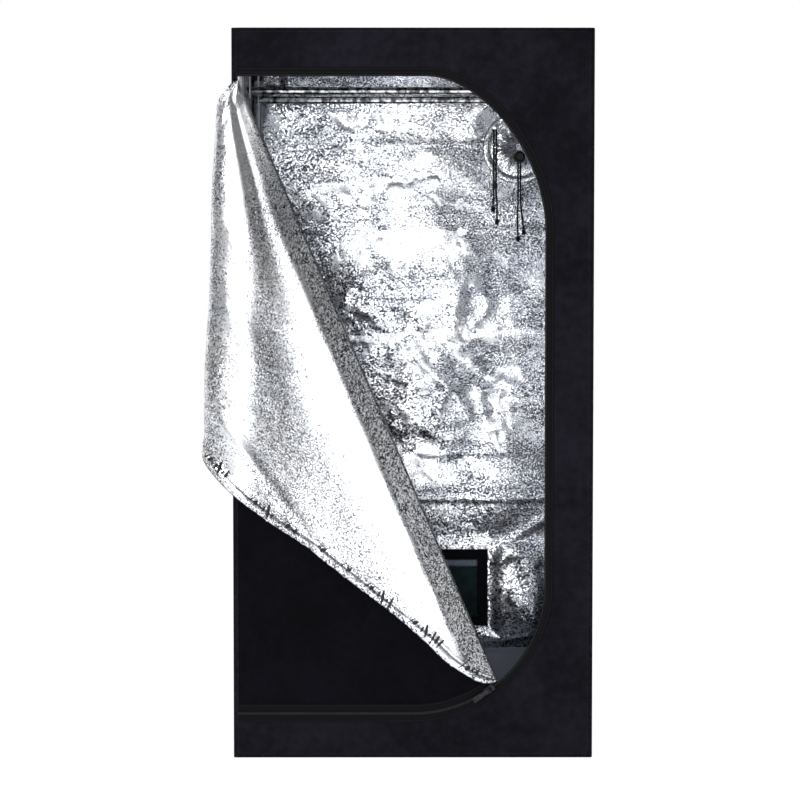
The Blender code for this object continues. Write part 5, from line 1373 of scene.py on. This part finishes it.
def knot_piece(name, end, seed):
    rng = np.random.default_rng(seed)
    lean = Matrix.Rotation(rng.uniform(0, 6.28), 3, "Z")
    middle = end - Vector((0, 0, 0.0055 + 0.0003))
    path = []
    for a in np.linspace(0, 2 * math.pi, 73)[:-1]:
        spot = Vector(((2 + math.cos(3 * a)) * math.cos(2 * a), (2 + math.cos(3 * a)) * math.sin(2 * a),
                       1.8 * math.sin(3 * a)))
        path.append(middle + lean @ Vector((spot.x * 0.00087, spot.y * 0.00087, spot.z * 0.0021)))
    frames = []
    for k, point in enumerate(path):
        along = (path[(k + 1) % 72] - path[k - 1]).normalized()
        side = along.cross((point - middle).normalized()).normalized()
        frames.append((point, side, side.cross(along)))
    ring = circle(0.00155, 10)
    knot = swept_piece(name, frames, ring, cord_black, closed=True)
    tail = [(middle + Vector((0.0006 * k, 0.0003 * k, -0.0028 - 0.0009 * k)), Vector((1, 0, 0)), Vector((0, 1, 0)))
            for k in range(5)]
    frayed = swept_piece(f"{name}_tail", tail, circle(0.0014, 8), cord_black)
    return [knot, frayed]


cord_lengths = {}
for index, (name, route) in enumerate(CORDS.items()):
    smooth_route = np.array([tuple(p) for p in smooth_path(route, 12)])
    marks = run_along(smooth_route)
    even = np.linspace(0, marks[-1], 20)
    points = np.stack([np.interp(even, marks, smooth_route[:, axis]) for axis in range(3)], axis=1)
    curve = bpy.data.curves.new(f"{name}_cord", "CURVE")
    curve.dimensions = "3D"
    curve.bevel_depth = 0.0015
    curve.bevel_resolution = 3
    curve.use_fill_caps = True
    spline = curve.splines.new("POLY")
    spline.points.add(len(points) - 1)
    for spot, place in zip(spline.points, points):
        spot.co = (*place, 1)
    curve.materials.append(cord_black)
    cord = link(f"{name}_cord", curve)
    knots = knot_piece(f"{name}_end_knot", route[-1], 7 + index)
    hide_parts(name)
    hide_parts(f"{name}_knot")
    for piece in (cord, *knots):
        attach(piece, "tent")
    cord_lengths[name] = round(float(marks[-1]), 4)
print("cords:", cord_lengths)

# %% [markdown]
# ## The vent's frame
# The vent is a window in the back wall. Inside, a black tape frame is sewn round it with two rows of
# stitches. The frame's four corners are mitred, like those of a picture frame.

# %% Vent frame
def ring_piece(name, half, low, high, band, y, thick, look):
    """A flat band round a rectangle, with soft edges. Its corners are mitred."""
    corners = [Vector((-half, low)), Vector((half, low)), Vector((half, high)), Vector((-half, high))]
    inward = [Vector((1, 1)), Vector((-1, 1)), Vector((-1, -1)), Vector((1, -1))]
    outline = [(0, 0), (0, thick * 0.6), (0.0006, thick), (band * 0.18, thick * 0.86), (band * 0.5, thick),
               (band * 0.82, thick * 0.86), (band - 0.0006, thick), (band, thick * 0.6), (band, 0)]
    verts, faces = [], []
    for corner, way in zip(corners, inward):
        for a, b in outline:
            verts.append((corner.x + way.x * a, y - b, corner.y + way.y * a))
    count = len(outline)
    for side in range(4):
        after = (side + 1) % 4
        for k in range(count):
            turn = (k + 1) % count
            faces.append((side * count + k, side * count + turn, after * count + turn, after * count + k))
    return mesh_piece(name, verts, faces, look)


vent_band = ring_piece("vent_tape_frame", VENT_HALF, VENT_LOW, VENT_HIGH, VENT_BAND, BACK - 0.0014, 0.0013,
                       binding_black)
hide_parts("vent_frame")
vent_small = [vent_band]
FOUR_CORNERS = ((-1, -1), (1, -1), (1, 1), (-1, 1), (-1, -1))
for label, inset in (("outer", 0.0030), ("inner", 0.0170)):
    for side, (start, end) in enumerate(zip(FOUR_CORNERS, FOUR_CORNERS[1:])):
        middle = (VENT_LOW + VENT_HIGH) / 2
        size = Vector((VENT_HALF - inset, (VENT_HIGH - VENT_LOW) / 2 - inset))
        ends = [Vector((c[0] * size.x, BACK - 0.0026, middle + c[1] * size.y)) for c in (start, end)]
        line = [ends[0].lerp(ends[1], t) for t in np.linspace(0, 1, 12)]
        vent_small.append(along_path(f"vent_{label}_stitches_{side}", line, [OUTWARD_UP] * 12, 0.0034,
                                     (0.0024, 0.0006, 0.0005), thread_black))

print("vent frame and stitch rows:", len(vent_small))

# %% [markdown]
# ## The vent's net
# A fine net covers the hole. One Geometry Nodes tree copies a thin bar along a line. It is used twice:
# once for the uprights, and once turned by a quarter for the rungs, which lie just behind them.

# %% Vent net
THREAD_THICK, THREAD_PITCH = 0.00028, 0.0024


def net_tree():
    sockets = {"Length": "Float", "Spread": "Float", "Thread": "Float", "Count": "Int", "Finish": "Material"}
    tree, start = empty_tree("net_threads", "Threads", sockets)

    def end_of_row(share):
        place = add_node(tree, "ShaderNodeMath", {"operation": "MULTIPLY"}, {0: start["Spread"], 1: share})
        return add_node(tree, "ShaderNodeCombineXYZ", None, {0: place.outputs[0]}).outputs["Vector"]

    size = add_node(tree, "ShaderNodeCombineXYZ", None, {0: start["Thread"], 1: start["Thread"], 2: start["Length"]})
    thread = add_node(tree, "GeometryNodeMeshCube", None, {"Size": size.outputs["Vector"]})
    row = add_node(tree, "GeometryNodeMeshLine", {"mode": "END_POINTS"},
                   {"Count": start["Count"], "Start Location": end_of_row(-0.5), "Offset": end_of_row(0.5)})
    return copies_on(tree, start, row.outputs["Mesh"], thread.outputs["Mesh"])


threads = net_tree()


def thread_row(name, length, spread, count, turn, at):
    mesh = bpy.data.meshes.new(name)
    mesh.from_pydata([(0, 0, 0)], [], [])
    thing = grow(name, mesh, threads, {"Length": length, "Spread": spread, "Thread": THREAD_THICK, "Count": count,
                                       "Finish": net_black})
    thing.data.transform(Matrix.Translation(at) @ Matrix.Rotation(turn, 4, "Y"))
    return thing


net_width = 2 * (VENT_HALF - VENT_BAND) + 0.016
net_height = (VENT_HIGH - VENT_LOW) - 2 * VENT_BAND + 0.016
net_centre = Vector((0, 0.3006, (VENT_LOW + VENT_HIGH) / 2))
uprights = thread_row("vent_net_uprights", net_height, net_width, round(net_width / THREAD_PITCH), 0, net_centre)
rungs = thread_row("vent_net_rungs", net_width, net_height, round(net_height / THREAD_PITCH), math.pi / 2,
                   net_centre + Vector((0, 0.0003, 0)))
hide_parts("vent_net")
for piece in (*vent_small, uprights, rungs):
    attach(piece, "tent")
print("net threads:", len(uprights.data.polygons) // 6 + len(rungs.data.polygons) // 6)

# %% [markdown]
# ## The vent's flap
# Outside, a flap closes the vent. Through the net its coated inner face shows as a dark, slightly green
# pane, with a pale lilac-grey strip along its top. The flap turns on its own joint, so its cloth
# and the strip both ride vent_cover.

# %% Vent flap
pane_look = black_cloth("vent_pane", tint=(0.028, 0.072, 0.080), sheen=0.02)
# The strip is a pale lilac-grey, with a ribbed weave.
pale_strip_look = ribbed_tape("pale_top_strip", (0.44, 0.50, 0.66), rib=0.0012)
wide, flap_low, flap_high = VENT_HALF + 0.012, VENT_LOW - 0.012, VENT_HIGH + 0.012
u, v = np.meshgrid(np.linspace(0, 2 * wide, 90), np.linspace(0, flap_high - flap_low, 50))
rim = np.minimum(np.minimum(u, 2 * wide - u), np.minimum(v, flap_high - flap_low - v))
puff = 0.0006 * noise(u, v, 0.08, 101) * ease(rim, 0.0, 0.02)
cover_points = np.stack([wide - u, 0.3026 + np.maximum(puff, 0), flap_low + v], axis=-1)
vent_cover = sheet_piece("vent_flap_cloth", cover_points, np.stack([u, v], axis=-1), (outer_black, pane_look))
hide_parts("vent_flap")
strip_top = VENT_HIGH - VENT_BAND + 0.0005
u, v = np.meshgrid(np.linspace(0, 2 * VENT_HALF - 2 * VENT_BAND, 40), np.linspace(0, 0.0135, 4))
strip_points = np.stack([u - VENT_HALF + VENT_BAND, 0 * u + 0.30125, strip_top - 0.0135 + v], axis=-1)
strip = sheet_piece("vent_pale_top_strip", strip_points, np.stack([u, v], axis=-1), (pale_strip_look,), thickness=0.0003,
                    offset=0.0)
for piece in (vent_cover, strip):
    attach(piece, "vent_cover")
print("vent flap:", [round(2 * wide, 3), round(flap_high - flap_low, 3)], "m")

# %% [markdown]
# ## The floor tray
# The spill tray lifts out. It is one cut of coated film with its corners folded up, so its walls lean and
# dip a little between the corner posts, and its rim has a welded hem.

# %% Floor tray
def film(name, tint):
    n = Nodes(name)
    at = n.flat_map()
    cloud = n.noise(at, 5.0, 3.0, 0.5, 0.5)
    fine = n.noise(at, 260.0, 2.0, 0.6)
    dark, light = shades(tint, 0.85, 1.15)
    normal = n.bump(fine, 0.0003, 0.4, n.bump(cloud, 0.012, 0.3))
    return n.shade(Base_Color=n.mix(n.span(cloud, 0.3, 0.7), dark, light), Metallic=0.45,
                   Roughness=n.span(fine, 0.3, 0.7, 0.36, 0.48), Normal=normal)


tray_look = film("tray_film", (0.445, 0.478, 0.540))
TRAY_HALF, TRAY_TOP, TRAY_LOW = 0.2765, 0.098, 0.0031
corner_turn = [(TRAY_HALF - 0.012 + 0.012 * math.cos(a), TRAY_HALF - 0.012 + 0.012 * math.sin(a))
               for a in np.linspace(0, QUARTER, 9)]
outline = []
for turn in range(4):
    c, s = round(math.cos(turn * QUARTER)), round(math.sin(turn * QUARTER))
    outline += [(c * x - s * y, s * x + c * y) for x, y in corner_turn]
outline = evenly([*outline, outline[0]], 0.010)
rings, ring_flat = [], []
lengths = np.linspace(0, 1, len(outline)) * 2.16
lengths[-1] = 0
centre_share = ease(1 - np.abs(outline).min(axis=1) / TRAY_HALF, 0.0, 0.9)
for share in np.linspace(0, 1, 14):
    z = TRAY_LOW + (TRAY_TOP - TRAY_LOW) * share
    lean = 0.0030 * noise(lengths, 0 * lengths + share * 0.06, 0.11, 111) * share * centre_share
    lean = lean - 0.004 * share * centre_share
    top = z - share ** 3 * centre_share * 0.0012 * (1 + noise(lengths, 0 * lengths, 0.07, 112))
    scale = 1 + (lean - 0.0006) / TRAY_HALF
    rings.append(np.stack([outline[:, 0] * scale, outline[:, 1] * scale, top], axis=-1))
    ring_flat.append(np.stack([lengths, 0 * lengths + z], axis=-1))
wall = np.array(rings)
floor_rings, floor_flat = [], []
for share in np.linspace(0.004, 1, 26):
    x, y = outline[:, 0] * share * (1 - 0.0006 / TRAY_HALF), outline[:, 1] * share * (1 - 0.0006 / TRAY_HALF)
    ripple = 0.0010 * (1 + noise(x, y, 0.09, 113)) * ease(1 - share, 0.0, 0.1) * 0.5
    floor_rings.append(np.stack([x, y, TRAY_LOW + ripple], axis=-1))
    floor_flat.append(np.stack([x, y], axis=-1))
tray_grid = np.concatenate([np.array(floor_rings), wall[1:]])
tray_flat = np.concatenate([np.array(floor_flat), np.array(ring_flat)[1:]])
tray = sheet_piece("floor_tray_film", tray_grid, tray_flat, (tray_look, tray_look), thickness=0.0012)
merged(tray)
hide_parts("floor_tray")
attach(tray, "tray")
rim_path = wall[-1][:-1]
rim_frames = []
for k in range(len(rim_path)):
    ahead, back = Vector(rim_path[(k + 1) % len(rim_path)]), Vector(rim_path[k - 1])
    along = (ahead - back).normalized()
    side = along.cross(Vector((0, 0, 1))).normalized()
    rim_frames.append((Vector(rim_path[k]), side, Vector((0, 0, 1))))
hem_outline = [(-0.0016, -0.0100), (-0.0019, -0.0094), (-0.0019, -0.0004), (-0.0010, 0.0), (0.0006, 0.0),
               (0.0010, -0.0004), (0.0010, -0.0094), (0.0006, -0.0100)]
hem = swept_piece("floor_tray_hem", rim_frames, hem_outline, tray_look, closed=True)
uv = hem.data.uv_layers.new(name="cloth")
for loop in hem.data.loops:
    spot = hem.data.vertices[loop.vertex_index].co
    uv.data[loop.index].uv = (spot.x + spot.y, spot.z)
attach(hem, "tray")
print("tray:", len(tray.data.polygons), "faces")

# %% [markdown]
# ## Seams
# The cover's panels meet along the box's edges in bound seams. A thin cord of folded tape runs along each
# edge, and a row of stitches holds it a few millimetres in.

# %% Bound seams
def rounded_rectangle(half_x, half_y, radius, steps=6):
    corner = [(half_x - radius + radius * math.cos(a), half_y - radius + radius * math.sin(a))
              for a in np.linspace(0, QUARTER, steps)]
    mirrored = [(-x, y) for x, y in reversed(corner)]
    return corner + mirrored + [(-x, -y) for x, y in corner] + [(x, -y) for x, y in reversed(corner)]


def seam_piece(name, path, closed):
    frames = []
    count = len(path)
    for k, point in enumerate(path):
        ahead = path[(k + 1) % count] if closed or k < count - 1 else point
        back = path[k - 1] if closed or k > 0 else point
        along = (ahead - back).normalized()
        guide = Vector((0, 0, 1)) if abs(along.z) < 0.5 else Vector((0, 1, 0))
        side = along.cross(guide).normalized()
        frames.append((point, side, side.cross(along)))
    return swept_piece(name, frames, circle(0.0012, 8), binding_black, closed=closed)


seams = []
for name, z in (("bottom_seam", 0.0014), ("top_seam", HEIGHT - 0.0010)):
    corners = [*rounded_rectangle(SIDE, BACK, 0.003), (SIDE, BACK - 0.003)]
    loop = [Vector((x, y, z)) for x, y in evenly(corners, 0.012)[:-1]]
    seams.append(seam_piece(name, loop, True))
for label, x, y in (("front_left", -SIDE, FRONT), ("front_right", SIDE, FRONT), ("rear_left", -SIDE, BACK),
                    ("rear_right", SIDE, BACK)):
    path = [Vector((x, y, z)) for z in np.linspace(0.001, HEIGHT - 0.001, 60)]
    seams.append(seam_piece(f"{label}_seam", path, False))
for name, y, way in (("front_rim_stitches", FRONT - 0.0001, -1), ("back_rim_stitches", BACK + 0.0001, 1)):
    inset = 0.0065
    loop = [Vector((x, y, HEIGHT / 2 + z)) for x, z in rounded_rectangle(SIDE - inset, HEIGHT / 2 - inset, 0.004)]
    loop.append(loop[0])
    fine = [Vector((x, y, z)) for x, z in evenly([(p.x, p.z) for p in loop], 0.01)]
    seams.append(along_path(name, fine, [Vector((0, way, 0))] * len(fine), 0.0036, (0.0026, 0.0006, 0.0005),
                            thread_black))
for piece in seams:
    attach(piece, "tent")
print("seams:", len(seams))

# %% [markdown]

# %% [markdown]
# ## The lamps
# The photograph was taken in a white studio. One large lamp high on the left gives most of the light.
# Four weaker ones help: one just above the lens for the back wall, one low on the left for the flap, one
# low in front for the tray and the vent, and a faint one on the right.

# %% Lamps
def lamp(name, at, aim, size, power):
    data = bpy.data.lights.new(name, "AREA")
    data.shape = "RECTANGLE"
    data.size, data.size_y = size
    data.energy = power
    thing = bpy.data.objects.new(name, data)
    thing.location = at
    thing.rotation_euler = (Vector(aim) - Vector(at)).to_track_quat("-Z", "Y").to_euler()
    bpy.context.scene.collection.objects.link(thing)


lamp("above_lens", (-0.10, -4.3, 1.66), (0, 0.3, 0.7), (1.4, 0.42), 8)
lamp("left_high", (-2.2, -3.4, 2.0), (0, 0, 0.7), (1.3, 1.5), 52)
lamp("left_low", (-1.10, -4.4, 0.60), (-0.1, 0, 0.55), (0.5, 1.3), 15)
lamp("low_front", (0.10, -4.3, 0.20), (0.15, 0, 0.3), (0.5, 0.3), 12)
lamp("right_low", (3.4, -2.0, 1.2), (0, 0, 0.5), (0.8, 1.6), 3)

# %% [markdown]
# ## The floor
# The photograph's background is white.

# %% Studio floor
FLOOR_REACH, FLOOR_LEVEL = 9, -0.0005
floor_mesh = bpy.data.meshes.new("studio_floor")
corners = [(x * FLOOR_REACH, y * FLOOR_REACH, FLOOR_LEVEL) for x, y in ((-1, -1), (1, -1), (1, 1), (-1, 1))]
floor_mesh.from_pydata(corners, [], [(0, 1, 2, 3)])
studio_floor = link("studio_floor", floor_mesh)
paper = Nodes("studio_floor")
floor_look = paper.shade(Base_Color=(0.9, 0.9, 0.9, 1), Roughness=0.9, Specular_IOR_Level=0.1)
glow = paper.add("Emission", Color=(1, 1, 1, 1), Strength=1.22).outputs[0]
ray = paper.add("LightPath").outputs
mirrored = paper.math("MAXIMUM", ray["Is Glossy Ray"], ray["Is Transmission Ray"])
seen = paper.math("MULTIPLY", paper.math("MAXIMUM", ray["Is Camera Ray"], mirrored), 0.80)
surface = paper.add("MixShader", _0=seen, _1=paper.shader.outputs[0], _2=glow).outputs[0]
put(paper.tree, paper.tree.nodes["Material Output"].inputs["Surface"], surface)
floor_mesh.materials.append(floor_look)
print("floor:", 2 * FLOOR_REACH, "m wide")

# %% [markdown]
# ## The room
# Foil shows what it mirrors, so the room round the tent matters more than the lamps. It is a world
# whose brightness depends on the direction: darker low down and far to either side, most of all on the
# right, and white behind the tent. Matte surfaces get an even grey of 0.36 instead, and the camera
# itself sees plain white.

# %% Room
world = bpy.data.worlds.new("studio")
bpy.context.scene.world = world
world.use_nodes = True
world.node_tree.nodes.clear()
sky = Nodes("studio", world.node_tree)
across, ahead, up = sky.add("SeparateXYZ", None, Vector=sky.add("TexCoord").outputs["Generated"]).outputs
room = sky.span(up, -0.05, 0.55, 0.62, 0.95)
right = sky.span(across, 0.19, 0.57, 1.0, 0.16)
left = sky.span(across, -0.80, -0.35, 0.40, 1.0)
room = sky.math("MULTIPLY", sky.math("MULTIPLY", room, right), left)
seen = sky.between(sky.span(ahead, 0.05, 0.35), room, 1.0)
ray = sky.add("LightPath").outputs
sharp = sky.math("MAXIMUM", ray["Is Glossy Ray"], ray["Is Transmission Ray"])
level = sky.between(ray["Is Camera Ray"], sky.between(sharp, 0.36, seen), 1.0)
backdrop = sky.add("Background", Color=(1, 1, 1, 1), Strength=level)
sky.add("OutputWorld", Surface=backdrop.outputs[0])
bpy.context.scene.view_settings.view_transform = "Standard"
print("world nodes:", len(world.node_tree.nodes))
